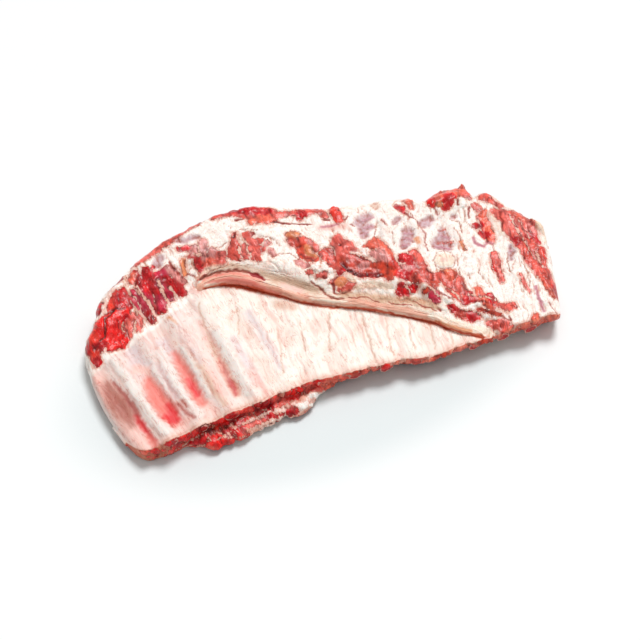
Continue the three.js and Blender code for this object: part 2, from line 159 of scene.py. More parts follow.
@dataclass(frozen=True)
class Plan:
    """The rack's plan and heights. A rib line is named by q, the x where it meets fan_front."""

    fan_front: float = -80.0
    fan_spread: float = 0.0015
    fan_upright: float = -75.0
    # Rib line, then the y of the front edge and of the back edge
    outline: tuple = (
        (-201, -47, -26), (-199, -57, -4), (-194, -66, 26), (-188, -68, 50), (-181, -68, 66),
        (-170, -67, 78), (-158, -66, 99), (-148, -65, 111), (-116, -63, 134), (-80, -62, 149),
        (-45, -61, 156), (-17, -65, 148), (19, -70, 123), (57, -75, 110), (92, -80, 99),
        (102, -81, 91), (114, -82, 96), (137, -83, 95), (143, -83, 80), (150, -84, 81),
        (158, -84, 75), (168, -85, 58), (180, -85, 42), (188, -86, 32), (195, -86, 21),
        (198, -75, 12), (200, -24, -2),
    )
    # X and y of the line where the raised meat starts
    meat_edge: tuple = (
        (-216, 26), (-195, 34), (-165, 45), (-130, 59), (-99, 71), (-82, 76), (-62, 69),
        (-40, 51), (-12, 24), (23, 0), (58, -26), (83, -46), (92, -59), (104, -71), (117, -83),
        (128, -98), (150, -135),
    )
    # X, y, half length, half width, turn in degrees and height
    lumps: tuple = (
        (-73, 131, 40, 11, 16, 4.0), (-12, 107, 26, 13, -50, 3.5), (-64, 102, 30, 12, 5, -2.5),
        (9, 74, 24, 8, -66, -3.5), (29, 47, 18, 8, 70, -2.5), (57, 26, 26, 12, -28, -5.5),
        (74, 36, 24, 6, -82, 1.5), (47, 62, 13, 11, 60, 1.5), (15, 43, 13, 8, -15, 3.0),
        (24, 16, 12, 9, 10, 2.0), (92, 13, 17, 13, 40, 1.5), (128, 8, 16, 11, 10, 3.0),
        (117, -22, 25, 9, -80, -2.5), (107, -58, 17, 9, -50, -2.5), (139, -52, 20, 8, -60, 2.5),
        (131, -80, 12, 10, 0, -1.5), (164, 77, 26, 13, 8, 7.0), (180, 32, 27, 7, 72, -3.0),
        (165, -16, 16, 5, 70, -2.5), (205, 14, 34, 10, 78, 2.5), (-186, 60, 24, 15, 50, 2.5),
        (-161, 92, 22, 8, 65, 2.0), (-142, 88, 32, 6, 88, 1.8), (-126, 92, 30, 6, 90, 1.8),
        (-109, 92, 20, 8, 88, 1.5),
    )
    rib_count: int = 13
    rib_pitch: float = 28.2
    first_rib: float = -172.5
    rib_width: float = 12.5
    rib_thickness: float = 8.0
    rib_cover: float = 2.0
    rib_end_proud: float = 1.2
    rib_back_y: float = 52.0
    rib_back_margin: float = 34.0
    rib_side: float = 19.5
    rib_side_drop: float = 2.5
    ridges_left: float = 4.6
    ridges_middle: float = 1.3
    ridges_right: float = 2.6
    back_left: float = 27.0
    back_middle: float = 33.0
    back_right: float = 23.0
    rim: float = 7.0
    back_rim: float = 12.0
    left_round: float = 27.0
    right_round: float = 15.0
    back_round: float = 17.0
    under_round: float = 11.0
    front_lift: float = 6.0
    edge_crest: float = 0.4
    trimmings: tuple = (-166, -136, -58, -26)
    trimmings_reach: float = 15.0
    trimmings_height: float = 11.0

    def fan_x(self, q: Array, y: Array) -> Array:
        """Gives the x of rib line q at y: the line leans out in proportion to q."""
        return q + self.fan_spread * (q - self.fan_upright) * (y - self.fan_front)

    def fan_q(self, x: Array, y: Array) -> Array:
        """Gives the rib line through a point, the inverse of fan_x."""
        run = self.fan_spread * (y - self.fan_front)
        return (x + self.fan_upright * run) / (1.0 + run)

    def front(self, q: Array) -> Array:
        """Gives the y of the sawn front edge on rib line q."""
        return along(self.outline, 1, q)

    def back(self, q: Array) -> Array:
        """Gives the y of the back edge on rib line q."""
        return along(self.outline, 2, q)

    def behind(self, x: Array, y: Array) -> Array:
        """Gives the distance behind the meat's edge: the gap in y over the edge's slope."""
        edge = along(self.meat_edge, 1, x)
        return (y - edge) / np.hypot(1.0, along(self.meat_edge, 1, x + 1.0) - edge)

    def wave(self, q: Array) -> Array:
        """Is 1 on a rib and 0 between two, as a raised cosine."""
        return 0.5 + 0.5 * np.cos(2.0 * np.pi * (q - self.first_rib) / self.rib_pitch)

    def ridges(self, q: Array, behind: Array) -> Array:
        """Gives the ribs' relief: the wave times a height that changes along the rack."""
        height = mix(self.ridges_left, self.ridges_middle, smoothstep(-115, -70, q))
        height = mix(height, self.ridges_right, smoothstep(90, 140, q))
        shows = mix(1.0, 0.5 * smoothstep(60, 120, q), smoothstep(0, 20, behind))
        return (self.wave(q) - 0.5) * height * shows

    def lump_height(self, x: Array, y: Array) -> Array:
        """Adds the lumps and hollows, each a turned bell of its own half length and width."""
        total = np.zeros(np.shape(x))
        for cx, cy, length, width, turn, height in self.lumps:
            c, s = np.cos(np.radians(turn)), np.sin(np.radians(turn))
            u = ((x - cx) * c + (y - cy) * s) / length
            v = ((y - cy) * c - (x - cx) * s) / width
            total += height * np.exp(-1.4 * (u * u + v * v))
        return total

    def side_height(self, q: Array) -> Array:
        """Gives the rib side's height between ridge and groove, lower on the right."""
        return self.rib_side - self.rib_side_drop * smoothstep(60, 190, q)

    def upper(self, x: Array, y: Array) -> Array:
        """Gives the upper side's height away from the edges: rib side, step, ribs and lumps."""
        q, behind = self.fan_q(x, y), self.behind(x, y)
        back = mix(self.back_middle, self.back_right, smoothstep(70, 135, q))
        back = mix(self.back_left, back, smoothstep(-150, -90, q))
        step = smoothstep(8.0, 34.0, behind)
        return mix(self.side_height(q), back, step) + self.ridges(q, behind) + self.lump_height(x, y)

    def round_off(self, distance: Array, reach: float) -> Array:
        """Is 0 at an edge and 1 from reach inwards, as a quarter circle."""
        k = 1.0 - np.clip((distance + self.edge_crest) / reach, 0.0, 1.0)
        return np.sqrt(1.0 - k * k)

    def edges(self, q: Array, y: Array) -> tuple[Array, Array, Array, Array]:
        """Gives the distances to the left, right, back and front edges."""
        return q - self.outline[0][0], self.outline[-1][0] - q, self.back(q) - y, y - self.front(q)

    def rim_height(self, q: Array, y: Array) -> Array:
        """Gives the height of the closing edge, which is thicker along the back."""
        left, right, back, _ = self.edges(q, y)
        ends = np.minimum(smoothstep(0, 40, left), smoothstep(0, 40, right))
        return mix(self.rim, self.back_rim, ends * (1.0 - smoothstep(0, 60, back)))

    def top_z(self, q: Array, y: Array) -> Array:
        """Gives the upper side's height, rounded down to the rim at the edges."""
        left, right, back, _ = self.edges(q, y)
        rim = self.rim_height(q, y)
        full = (self.round_off(left, self.left_round) * self.round_off(right, self.right_round)
                * self.round_off(back, self.back_round))
        return rim + (self.upper(self.fan_x(q, y), y) - rim) * full

    def under_z(self, q: Array, y: Array) -> Array:
        """Gives the underside's height: flat, rounded up at the edges, lifted front right."""
        left, right, back, front = self.edges(q, y)
        reach = self.under_round
        full = self.round_off(left, reach) * self.round_off(right, reach) * self.round_off(back, reach)
        lift = self.front_lift * smoothstep(-50, -15, q) * (1.0 - smoothstep(0, 45, front))
        return self.rim_height(q, y) * (1.0 - full) + lift

    def trimmings_share(self, q: Array) -> Array:
        """Is 1 where the trimmings stick out in full, and 0 beyond them."""
        start, full, thins, end = self.trimmings
        return smoothstep(start, full, q) * (1.0 - smoothstep(thins, end, q))

    def rib_lines(self) -> Array:
        """Gives the q of each rib."""
        return self.first_rib + self.rib_pitch * np.arange(self.rib_count)

    def shift(self) -> Array:
        """Works out from the last rib bone's box how far the plan lies from the frame."""
        q = self.rib_lines()[-1]
        y = self.front(q) - self.rib_end_proud
        corner = np.array(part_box(f"rib_bone_{self.rib_count:02d}")[0]) / MM
        return np.array([corner[0] - (self.fan_x(q, y) - self.rib_width / 2.0), corner[1] - y, 0.0])


PLAN = Plan()
SHIFT = PLAN.shift()


def view_axes() -> tuple[Array, Array, Array]:
    """Gives the camera's right, up and back directions."""
    a, e = np.radians(AZIMUTH), np.radians(ELEVATION)
    back = np.array([np.sin(a) * np.cos(e), -np.cos(a) * np.cos(e), np.sin(e)])
    right = np.array([np.cos(a), np.sin(a), 0.0])
    return right, np.cross(back, right), back


def sight(p: Array) -> Array:
    """Slides each point down the camera's slope to SIGHT_LEVEL, and gives its x and y there."""
    back = view_axes()[2]
    return p[..., :2] - (p[..., 2:] - SIGHT_LEVEL) * back[:2] / back[2]


def linear(colour: Array | Colour) -> Array:
    """Turns colours as they show on a screen into amounts of light."""
    c = np.clip(colour, 0.0, 1.0)
    return np.where(c < 0.04045, c / 12.92, ((c + 0.055) / 1.055) ** 2.4)


class Kind(Enum):
    """How a tissue lies: as lean, as fat over the lean, or as a stain in whatever is there."""

    LEAN = 0
    FAT = 1
    STAIN = 2


class Look(NamedTuple):
    """How a tissue shows: its colour on a screen, its kind, and its edge's softness and relief in mm."""

    colour: Colour
    kind: Kind
    soft: float
    lift: float


class Tissue(Enum):
    """The tissues that strokes are made of, with some strokes of painted shade, shadow and highlight, each
    with its colour, kind, softness and relief.
    """

    BRIGHT = Look((0.93, 0.07, 0.05), Kind.LEAN, 1.2, 0.8)
    CRIMSON = Look((0.76, 0.02, 0.07), Kind.LEAN, 1.2, -0.4)
    SCARLET = Look((0.90, 0.22, 0.16), Kind.LEAN, 1.2, 0.4)
    PLUM = Look((0.73, 0.13, 0.25), Kind.LEAN, 1.2, 0.2)
    DARK = Look((0.50, 0.05, 0.03), Kind.LEAN, 1.4, -2.4)
    BROWN = Look((0.78, 0.26, 0.17), Kind.LEAN, 1.2, -0.6)
    BRICK = Look((0.84, 0.33, 0.28), Kind.LEAN, 1.2, -0.3)
    VERMILION = Look((0.92, 0.40, 0.31), Kind.LEAN, 1.2, 0.4)
    ROSE = Look((0.89, 0.41, 0.37), Kind.LEAN, 1.2, -0.2)
    MAUVE = Look((0.85, 0.56, 0.54), Kind.LEAN, 1.2, -0.2)
    OCHRE = Look((0.87, 0.53, 0.36), Kind.LEAN, 1.2, 0.3)
    FAT = Look((0.99, 0.975, 0.95), Kind.FAT, 1.2, 1.2)
    WISP = Look((0.96, 0.88, 0.82), Kind.FAT, 0.7, 0.4)
    MAROON = Look((0.58, 0.15, 0.10), Kind.STAIN, 0.9, -0.6)
    WHITE = Look((0.92, 0.88, 0.855), Kind.STAIN, 2.6, 1.0)
    # Painted shade on the bare rib side, in a lilac grey
    LILAC_SHADE = Look((0.90, 0.84, 0.84), Kind.STAIN, 4.5, -0.4)
    BLUSH = Look((0.95, 0.79, 0.75), Kind.STAIN, 3.5, 0.0)
    SAND = Look((0.90, 0.77, 0.70), Kind.STAIN, 3.5, 0.0)
    PURPLE = Look((0.83, 0.71, 0.735), Kind.STAIN, 2.6, -1.3)
    DUSKY = Look((0.72, 0.47, 0.42), Kind.STAIN, 6.0, 0.0)
    AMBER = Look((0.91, 0.63, 0.47), Kind.STAIN, 1.6, 0.0)
    WINDOW = Look((0.93, 0.53, 0.49), Kind.STAIN, 4.6, -0.8)
    RED_WINDOW = Look((0.88, 0.19, 0.21), Kind.STAIN, 3.4, -0.8)
    GREYISH = Look((0.83, 0.70, 0.60), Kind.STAIN, 4.0, 0.0)
    # The lip's own pale colour, also used for a painted highlight along the flap's roll
    LIP_AND_HIGHLIGHT = Look((0.92, 0.70, 0.61), Kind.STAIN, 1.8, 0.0)
    CREAM = Look((0.98, 0.92, 0.85), Kind.STAIN, 1.6, 0.2)
    MUSCLE = Look((0.92, 0.55, 0.49), Kind.STAIN, 2.4, -0.3)
    FOLD = Look((0.62, 0.32, 0.25), Kind.STAIN, 1.1, -0.9)
    CRIMSON_FOLD = Look((0.62, 0.05, 0.08), Kind.STAIN, 1.0, -1.2)
    SHADOW = Look((0.79, 0.32, 0.20), Kind.STAIN, 1.4, 0.0)
    # Thin grooves whose dark colour is painted shade
    CREASE_SHADE = Look((0.69, 0.46, 0.39), Kind.STAIN, 0.9, -1.2)
    THREAD = Look((0.89, 0.78, 0.71), Kind.STAIN, 1.0, -0.3)
    BRUISE = Look((0.74, 0.44, 0.41), Kind.STAIN, 2.0, -0.2)
    STRIPE = Look((0.78, 0.50, 0.55), Kind.STAIN, 1.2, 0.1)
    SKIN = Look((0.96, 0.85, 0.765), Kind.STAIN, 3.0, 0.0)
    CAUL = Look((0.93, 0.84, 0.76), Kind.FAT, 1.4, 0.5)
    FILM = Look((0.85, 0.71, 0.60), Kind.STAIN, 3.2, 0.0)
    FRILL = Look((0.96, 0.86, 0.76), Kind.FAT, 1.6, 3.6)
    SPIKE = Look((0.86, 0.33, 0.24), Kind.LEAN, 1.6, 4.0)


class Stroke(NamedTuple):
    """A stretch of one tissue: the line that it follows, as x, y and half width."""

    tissue: Tissue
    line: tuple[tuple[float, float, float], ...]


def stroke_table(*rows: tuple) -> tuple[Stroke, ...]:
    """Makes strokes of rows that hold a tissue and then the points of its line."""
    return tuple(Stroke(tissue, tuple(line)) for tissue, *line in rows)


# A short name for the tables, in which later strokes lie over earlier ones
T = Tissue

# The bare rib side: blushes and painted lilac shade first, then ribs, the windows between them and threads
RIB_SIDE = stroke_table(
    (T.BLUSH, (-209, 22, 7), (-206, -20, 10), (-200, -58, 9), (-192, -72, 6)),
    (T.DUSKY, (-206, 6, 4), (-205, -6, 7), (-203, -20, 9), (-201, -33, 7), (-200, -42, 4)),
    (T.BRUISE, (-199, 6, 1.2), (-195, -10, 2.2), (-193, -26, 2.6), (-192, -36, 2.2)),
    (T.LILAC_SHADE, (-173, 33, 7), (-171, 8, 8)),
    (T.LILAC_SHADE, (-156, 6, 4), (-154, -30, 4)),
    (T.LILAC_SHADE, (-145, 30, 5), (-142, 12, 5)),
    (T.BLUSH, (-176, 12, 5), (-168, 6, 5)),
    (T.BLUSH, (-138, -46, 6), (-135, -58, 7)),
    (T.BLUSH, (-154, -56, 4), (-160, -63, 5)),
    (T.SAND, (-124, 12, 4), (-124, -15, 5), (-123, -36, 4), (-120, -54, 4)),
    (T.BLUSH, (-118, -14, 2.5), (-117, -44, 3)),
    (T.LILAC_SHADE, (-123, 12, 3), (-122, -4, 2)),
    (T.BLUSH, (-107, 38, 3), (-107, 10, 3), (-107, -20, 4)),
    (T.LILAC_SHADE, (-86, 8, 3), (-86, -46, 3.5)),
    (T.BLUSH, (-87, -30, 2), (-84, -58, 4)),
    (T.LILAC_SHADE, (-62, 30, 3), (-60, -40, 3)),
    (T.SAND, (-34, 28, 5), (-24, 20, 5)),
    (T.WHITE, (-190, 30, 3), (-187, 8, 4), (-184, -22, 5), (-181, -44, 5), (-176, -60, 5)),
    (T.WHITE, (-162, 8, 2), (-161, -30, 2.5), (-160, -46, 2)),
    (T.WHITE, (-149, 22, 4), (-149, -10, 4), (-148, -34, 3), (-145, -56, 4)),
    (T.WHITE, (-130, 18, 2.5), (-130, -40, 3)),
    (T.WHITE, (-98, 22, 4), (-97, -52, 5)),
    (T.WINDOW, (-171, -4, 4), (-170, -18, 7), (-169, -32, 8), (-167, -45, 7.4), (-166, -54, 5.4)),
    (T.RED_WINDOW, (-170, -46, 2), (-166, -52, 4.5), (-163, -53, 2)),
    (T.RED_WINDOW, (-165, -36, 1.5), (-164, -46, 2.5)),
    (T.WINDOW, (-140, 14, 2.4), (-139, -4, 4.4), (-139, -20, 5), (-139, -32, 4.6), (-138, -46, 3)),
    (T.RED_WINDOW, (-139.5, -18, 1.2), (-138.5, -28, 2.2), (-138, -36, 1.5)),
    (T.SAND, (-107, 12, 2), (-107, -20, 3.4), (-107, -50, 3)),
    (T.WINDOW, (-107, -6, 0), (-107, -24, 1.6), (-107, -48, 1.6)),
    (T.BRUISE, (-106, 0, -0.6), (-106, -24, 0.8), (-107, -40, 1.4), (-108, -50, 0.8)),
    (T.RED_WINDOW, (-106, -32, -1), (-107, -42, 0), (-108, -50, -1)),
    (T.RED_WINDOW, (-194, -36, 1), (-193, -46, 2.4), (-191.5, -56, 1.8), (-190, -64, 1)),
    (T.WINDOW, (-192, -60, 2), (-190, -70, 3)),
    (T.BRUISE, (-157, -39, 2), (-155, -48, 1.2)),
    (T.BRUISE, (-152, -36, 1.4), (-151, -44, 0.8)),
    (T.BRUISE, (-153, -50, 1.6), (-149, -57, 1)),
    (T.AMBER, (-133, 62, 0.6), (-128, 53, 1), (-125, 45, 0.4)),
    (T.BRUISE, (-127, 50, -1), (-124, 42, -0.4), (-120, 33, -0.4), (-119, 22, -1.2)),
    (T.THREAD, (-99, 60, 0.7), (-104, 30, 0.6), (-109, -8, 0.6)),
    (T.THREAD, (-69, 39, 0.6), (-74, 24, 0.7), (-80, 10, 0.6)),
    (T.THREAD, (-46, 4, 0.6), (-54, -24, 0.7), (-61, -46, 0.7)),
    (T.THREAD, (-24, 0, 0.6), (-29, -16, 0.6), (-34, -32, 0.7)),
    (T.THREAD, (4, 0, 0.7), (-5, -18, 0.7), (-14, -40, 0.7)),
    (T.THREAD, (30, -13, 0.7), (24, -40, 0.8), (17, -68, 0.8)),
    (T.THREAD, (47, -27, 0.6), (40, -46, 0.7), (34, -68, 0.8)),
    (T.THREAD, (62, -41, 0.7), (58, -54, 0.7), (54, -70, 0.7)),
    (T.THREAD, (80, -50, 0.6), (71, -78, 0.7)),
    (T.THREAD, (91, -66, 0.5), (88, -80, 0.7)),
)
# The red cushion at the left end, and the crimson muscle with its strands of fat
LEFT_MEAT = stroke_table(
    (T.CRIMSON, (-189, 79, 2), (-186, 85, 5), (-181, 92, 4)),
    (T.MAROON, (-191, 80, 1), (-188, 90, 1), (-182, 96, 1)),
    (T.CRIMSON, (-173, 109, 2), (-166, 113, 3), (-161, 116, 2)),
    (T.CRIMSON, (-155, 116, 2.6), (-150, 115, 2.2)),
    (T.SCARLET, (-202, 52, 4), (-197, 58, 7), (-190, 64, 7), (-183, 74, 6)),
    (T.BRIGHT, (-184, 45, 5), (-182, 52, 9), (-180, 62, 10), (-176, 72, 8), (-171, 78, 6)),
    (T.BRIGHT, (-188, 42, 1.5), (-180, 41, 2), (-174, 46, 3)),
    (T.CRIMSON, (-199, 47, 4), (-193, 50, 3)),
    (T.CRIMSON, (-207, 46, 2.5), (-207, 54, 2.5)),
    (T.SCARLET, (-202, 44, 3), (-205, 36, 3.5)),
    (T.CRIMSON, (-204, 33, 4), (-206, 31, 2)),
    (T.BRIGHT, (-171, 72, 6), (-166, 70, 6), (-164, 80, 6), (-166, 90, 6), (-165, 98, 3)),
    (T.SCARLET, (-173, 86, 4), (-168, 95, 4), (-161, 103, 2)),
    (T.CRIMSON, (-163, 70, 3), (-160, 67, 1.5)),
    (T.CRIMSON, (-161, 86, 3), (-159, 96, 2.5)),
    (T.CRIMSON, (-154, 82, 2.5), (-157, 92, 2.6), (-155, 99, 2.6), (-154, 104, 1.4)),
    (T.MAROON, (-194, 56, 0.8), (-188, 57, 0.8), (-180, 76, 1), (-170, 82, 0.8)),
    (T.MAROON, (-176, 82, 1), (-166, 84, 1), (-160, 80, 0.8)),
    (T.ROSE, (-168, 51, 1.6), (-165, 58, 3), (-162, 64, 2.2)),
    (T.ROSE, (-158, 53, 1.4), (-155, 62, 2.4), (-156, 71, 2)),
    (T.FAT, (-201, 71, 1), (-190, 76, 1.8), (-178, 85, 2.2), (-172, 97, 2), (-161, 108, 2),
        (-151, 111, 1.5)),
    (T.WISP, (-172, 56, 0.8), (-168, 66, 0.8)),
    (T.WISP, (-161, 55, 1), (-158, 66, 0.8)),
    (T.WISP, (-151, 70, 2.2), (-150, 88, 2.4), (-150, 104, 2.4), (-148, 116, 2)),
    (T.PLUM, (-141, 64, 2), (-139, 80, 4.5), (-135, 98, 5.5)),
    (T.CRIMSON, (-121, 80, 2.4), (-120, 93, 4), (-118, 106, 3.4)),
    (T.PLUM, (-144, 66, 4.4), (-146, 76, 4.4), (-147, 86, 3.4), (-146, 96, 2.4)),
    (T.CRIMSON, (-144, 56, 1.6), (-144, 61, 3), (-143, 67, 2)),
    (T.CRIMSON, (-136, 72, 1.4), (-134, 65, 2.4), (-131, 64, 2)),
    (T.PLUM, (-131, 68, 2.4), (-127, 77, 4), (-126, 86, 3.4)),
    (T.CRIMSON, (-129, 91, 4.5), (-129, 99, 7), (-128, 108, 5.5), (-126, 115, 3.2)),
    (T.CRIMSON, (-134, 95, 2.5), (-137, 104, 2.8), (-138, 113, 2.5), (-137, 118, 1.4)),
    (T.VERMILION, (-144, 109, 1.8), (-140, 115, 2.2)),
    (T.MAROON, (-142, 103, 1.4), (-140, 107, 1)),
    (T.PLUM, (-115, 97, 3.5), (-114, 105, 5), (-108, 108, 4)),
    (T.MAUVE, (-106, 109, 3), (-104, 100, 3), (-103, 88, 2.4)),
    (T.CRIMSON, (-108, 77, 3.4), (-109, 84, 4.4), (-112, 92, 4), (-114, 98, 2.4)),
    (T.PLUM, (-119, 73, 1.2), (-118, 84, 1.5), (-121, 95, 1.8)),
    (T.PURPLE, (-115, 118, 4), (-109, 125, 4)),
    (T.CRIMSON, (-119, 116, 1.2)),
    (T.WISP, (-138, 72, 1), (-139, 84, 1.8), (-142, 98, 1.4), (-143, 104, 0.8)),
    (T.WISP, (-123, 74, 1), (-122, 88, 1.5), (-120, 100, 0.8)),
    (T.WISP, (-149, 62, 1), (-150, 72, 1.2)),
    (T.WISP, (-141, 58, 0.8), (-139, 68, 1)),
    (T.WISP, (-114, 76, 1), (-115, 88, 1.2)),
    (T.WISP, (-146, 70, 0.4), (-148, 90, 0.5)),
    (T.MAROON, (-102, 99, 1), (-102, 108, 1.1), (-103, 117, 0.7)),
    (T.OCHRE, (-96, 97, 1.1), (-94, 104, 1.4), (-91, 114, 0.9)),
    (T.MAROON, (-93, 95, 0.9), (-89, 89, 1.1), (-84, 86, 0.9)),
    (T.BLUSH, (-98, 77, 3), (-95, 72, 3), (-91, 78, 3)),
    (T.VERMILION, (-93, 80, 0.8), (-88, 85, 1.6), (-80, 89, 1.4)),
    (T.VERMILION, (-86, 77, 1.8), (-81, 76, 2)),
)
# The fat along the back: the red edge strip, rosy meat and the windows between the ribs
BACK_MEAT = stroke_table(
    (T.CREASE_SHADE, (-92, 120, 0.1), (-84, 112, 0.3), (-84, 102, 0.2)),
    (T.CREASE_SHADE, (-62, 116, 0.1), (-52, 114, 0.3), (-46, 118, 0.2)),
    (T.CREASE_SHADE, (-30, 128, 0.1), (-24, 124, 0.3), (-14, 120, 0.1)),
    (T.CREASE_SHADE, (-16, 112, 0.1), (-6, 104, 0.3), (-2, 92, 0.1)),
    (T.CREASE_SHADE, (-8, 84, 0.1), (2, 78, 0.3), (6, 68, 0.1)),
    (T.ROSE, (-138, 128, 1.6), (-130, 126, 2), (-118, 131, 2), (-107, 135, 2.2)),
    (T.BRICK, (-104, 137, 2.2), (-96, 140, 2.8), (-85, 144, 2.8), (-73, 149, 2.6), (-62, 151, 1.8)),
    (T.MAROON, (-60, 153, 0.8), (-48, 153, 0.9)),
    (T.BRICK, (-44, 152, 2.5), (-33, 153, 3.5), (-22, 149, 5.5), (-12, 143, 7.5), (-2, 137, 8),
        (7, 132, 5)),
    (T.CRIMSON, (-40, 154, 0.9), (-22, 152, 1.6), (-8, 144, 2.4), (4, 135, 2.4)),
    (T.VERMILION, (-15, 132, 2.6), (-6, 130, 4.5), (4, 126, 4)),
    (T.BRICK, (10, 129, 3), (20, 127, 2), (29, 124, 1.6), (40, 121, 2.4), (48, 118, 2.4)),
    (T.CRIMSON, (28, 116, 0.9), (30, 121, 1.8), (34, 118, 2.2)),
    (T.BRICK, (49, 115, 2.4), (51, 109, 2)),
    (T.MAROON, (47, 106, 0.7), (52, 103, 0.9)),
    (T.SCARLET, (62, 112, 2.8), (62, 105, 4), (60, 99, 3.6)),
    (T.MAROON, (-27, 140, 0.9), (-21, 138, 0.8)),
    (T.MAROON, (4, 122, 0.8), (8, 120, 1.3), (14, 115, 1.2), (22, 112, 0.9), (29, 107, 0.9),
        (35, 105, 0.6)),
    (T.BRICK, (-27, 118, 2), (-22, 117, 2.4)),
    (T.BRICK, (-28, 112, 1.6), (-24, 108, 3), (-18, 105, 2.2)),
    (T.MAUVE, (-82, 124, 2), (-77, 121, 4), (-70, 120, 5), (-66, 126, 2.6)),
    (T.ROSE, (-84, 114, 2), (-78, 116, 2)),
    (T.MAUVE, (-65, 106, 4), (-62, 112, 4), (-60, 95, 3.5)),
    (T.ROSE, (-80, 92, 2.6), (-79, 100, 4), (-78, 108, 3)),
    (T.MAUVE, (-73, 96, 4), (-73, 108, 4), (-78, 117, 3)),
    (T.BRICK, (-81, 106, 1.4), (-75, 99, 1.8), (-67, 93, 1.6)),
    (T.WISP, (-84, 108, 0.4), (-76, 112, 0.8), (-68, 108, 0.5)),
    (T.VERMILION, (-69, 101, 3), (-66, 96, 2.4)),
    (T.CRIMSON, (-81, 91, 1), (-82, 101, 1), (-79, 110, 1.4)),
    (T.ROSE, (-59, 99, 2.6), (-56, 104, 3.6), (-50, 103, 4)),
    (T.MAROON, (-60, 100, 0.8), (-57, 107, 1)),
    (T.BRICK, (-46, 96, 4), (-45, 105, 4), (-41, 110, 3.5), (-38, 117, 2.4), (-35, 124, 1.6)),
    (T.MAROON, (-38, 120, 1.4), (-35, 125, 1)),
    (T.MAROON, (-46, 99, 1), (-44, 90, 0.8)),
    (T.ROSE, (-38, 92, 2.4), (-35, 98, 2.4), (-33, 106, 1.6)),
    (T.ROSE, (-29, 87, 2.4), (-26, 93, 4.4), (-25, 100, 5), (-24, 107, 2.4)),
    (T.BRICK, (-20, 95, 2), (-23, 102, 1.6)),
    (T.BRICK, (-30, 87, 1.4), (-27, 84, 1.2)),
    (T.WISP, (-36, 108, 0.9), (-34, 124, 0.9)),
    (T.WISP, (-34, 93, 0.7), (-31, 108, 0.9), (-30, 119, 1)),
    (T.WISP, (-41, 92, 0.5), (-39, 108, 0.6)),
    (T.WISP, (-75, 112, 1), (-71, 128, 0.6)),
    (T.WISP, (-79, 116, 1.2), (-75, 113, 1.2)),
    (T.WISP, (-53, 99, 0.5), (-50, 108, 0.5)),
    (T.MAUVE, (-12, 100, 1.6), (-15, 97, 0.8)),
    (T.MAUVE, (-13, 89, 1.6), (-12, 84, 1)),
    (T.CRIMSON, (-90, 129, 0.8), (-88, 125, 1.1), (-84, 125, 1.3), (-82, 127, 1.3)),
    (T.PURPLE, (-74, 136, 3), (-68, 134, 2.4)),
    (T.PURPLE, (-86, 138, 3), (-80, 135, 3)),
    (T.BLUSH, (41, 96, 3), (50, 93, 4), (62, 89, 4)),
    (T.STRIPE, (42, 97, 1), (50, 95, 1.4), (58, 94, 0.8)),
    (T.PURPLE, (87, 92, 5), (78, 88, 6)),
    (T.PURPLE, (83, 79, 4.5), (76, 79, 5.5), (73, 71, 4)),
    (T.PURPLE, (113, 58, 6), (107, 49, 6.5), (101, 43, 4)),
    (T.PURPLE, (112, 77, 3), (107, 74, 3)),
    (T.PURPLE, (139, 63, 5), (132, 61, 6)),
    (T.PURPLE, (144, 47, 4), (141, 38, 6), (132, 33, 6.5), (139, 26, 5)),
    (T.PURPLE, (163, 58, 3)),
    (T.STRIPE, (81, 90, 0.6), (91, 88, 0.8)),
    (T.STRIPE, (77, 79, 0.8), (86, 79, 0.6)),
    (T.STRIPE, (72, 73, 0.6), (80, 73, 0.6)),
    (T.STRIPE, (109, 58, 0.6), (116, 54, 0.6)),
    (T.STRIPE, (106, 52, 0.9), (113, 47, 0.7)),
    (T.STRIPE, (101, 45, 0.7), (107, 42, 0.7)),
    (T.ROSE, (141, 48, -0.6), (148, 47, -0.4)),
    (T.STRIPE, (140, 41, 0.9), (146, 35, 0.9)),
    (T.ROSE, (133, 36, -0.7), (144, 29, -0.2)),
    (T.STRIPE, (129, 31, 0.9), (139, 22, 1.1)),
    (T.WHITE, (95, 84, 1), (93, 72, 2), (88, 60, 2)),
    (T.WHITE, (118, 76, 1), (121, 60, 2), (116, 42, 2), (111, 30, 1.5)),
    (T.WHITE, (150, 64, 1), (153, 46, 2), (147, 26, 2.5)),
    (T.MAROON, (97, 81, 0.3), (97, 76, 0.7), (98, 71, 0.3)),
    (T.MAROON, (89, 78, 0.1), (82, 65, 0.3)),
    (T.MAROON, (124, 84, 0.2), (127, 75, 0.4), (127, 60, 0.4), (125, 47, 0.3), (118, 29, 0.4)),
    (T.CREASE_SHADE, (99, 64, 0.1), (94, 49, 0.2)),
    (T.CREASE_SHADE, (158, 58, 0.2), (164, 45, 0.3), (160, 36, 0.2)),
    (T.CREASE_SHADE, (155, 45, 0.2), (155, 32, 0.3), (151, 19, 0.2)),
    (T.AMBER, (81, 117, 0.1), (103, 112, 0.4), (119, 104, 0.2)),
    (T.AMBER, (116, 46, 2.4), (115, 41, 1.6)),
    (T.MAROON, (98, 83, 0.5), (98, 75, 1)),
    (T.MAROON, (69, 89, 0.6), (70, 86, 0.5)),
    (T.MAROON, (70, 100, 0.6), (66, 97, 0.8)),
    (T.SAND, (100, 101, 4)),
)
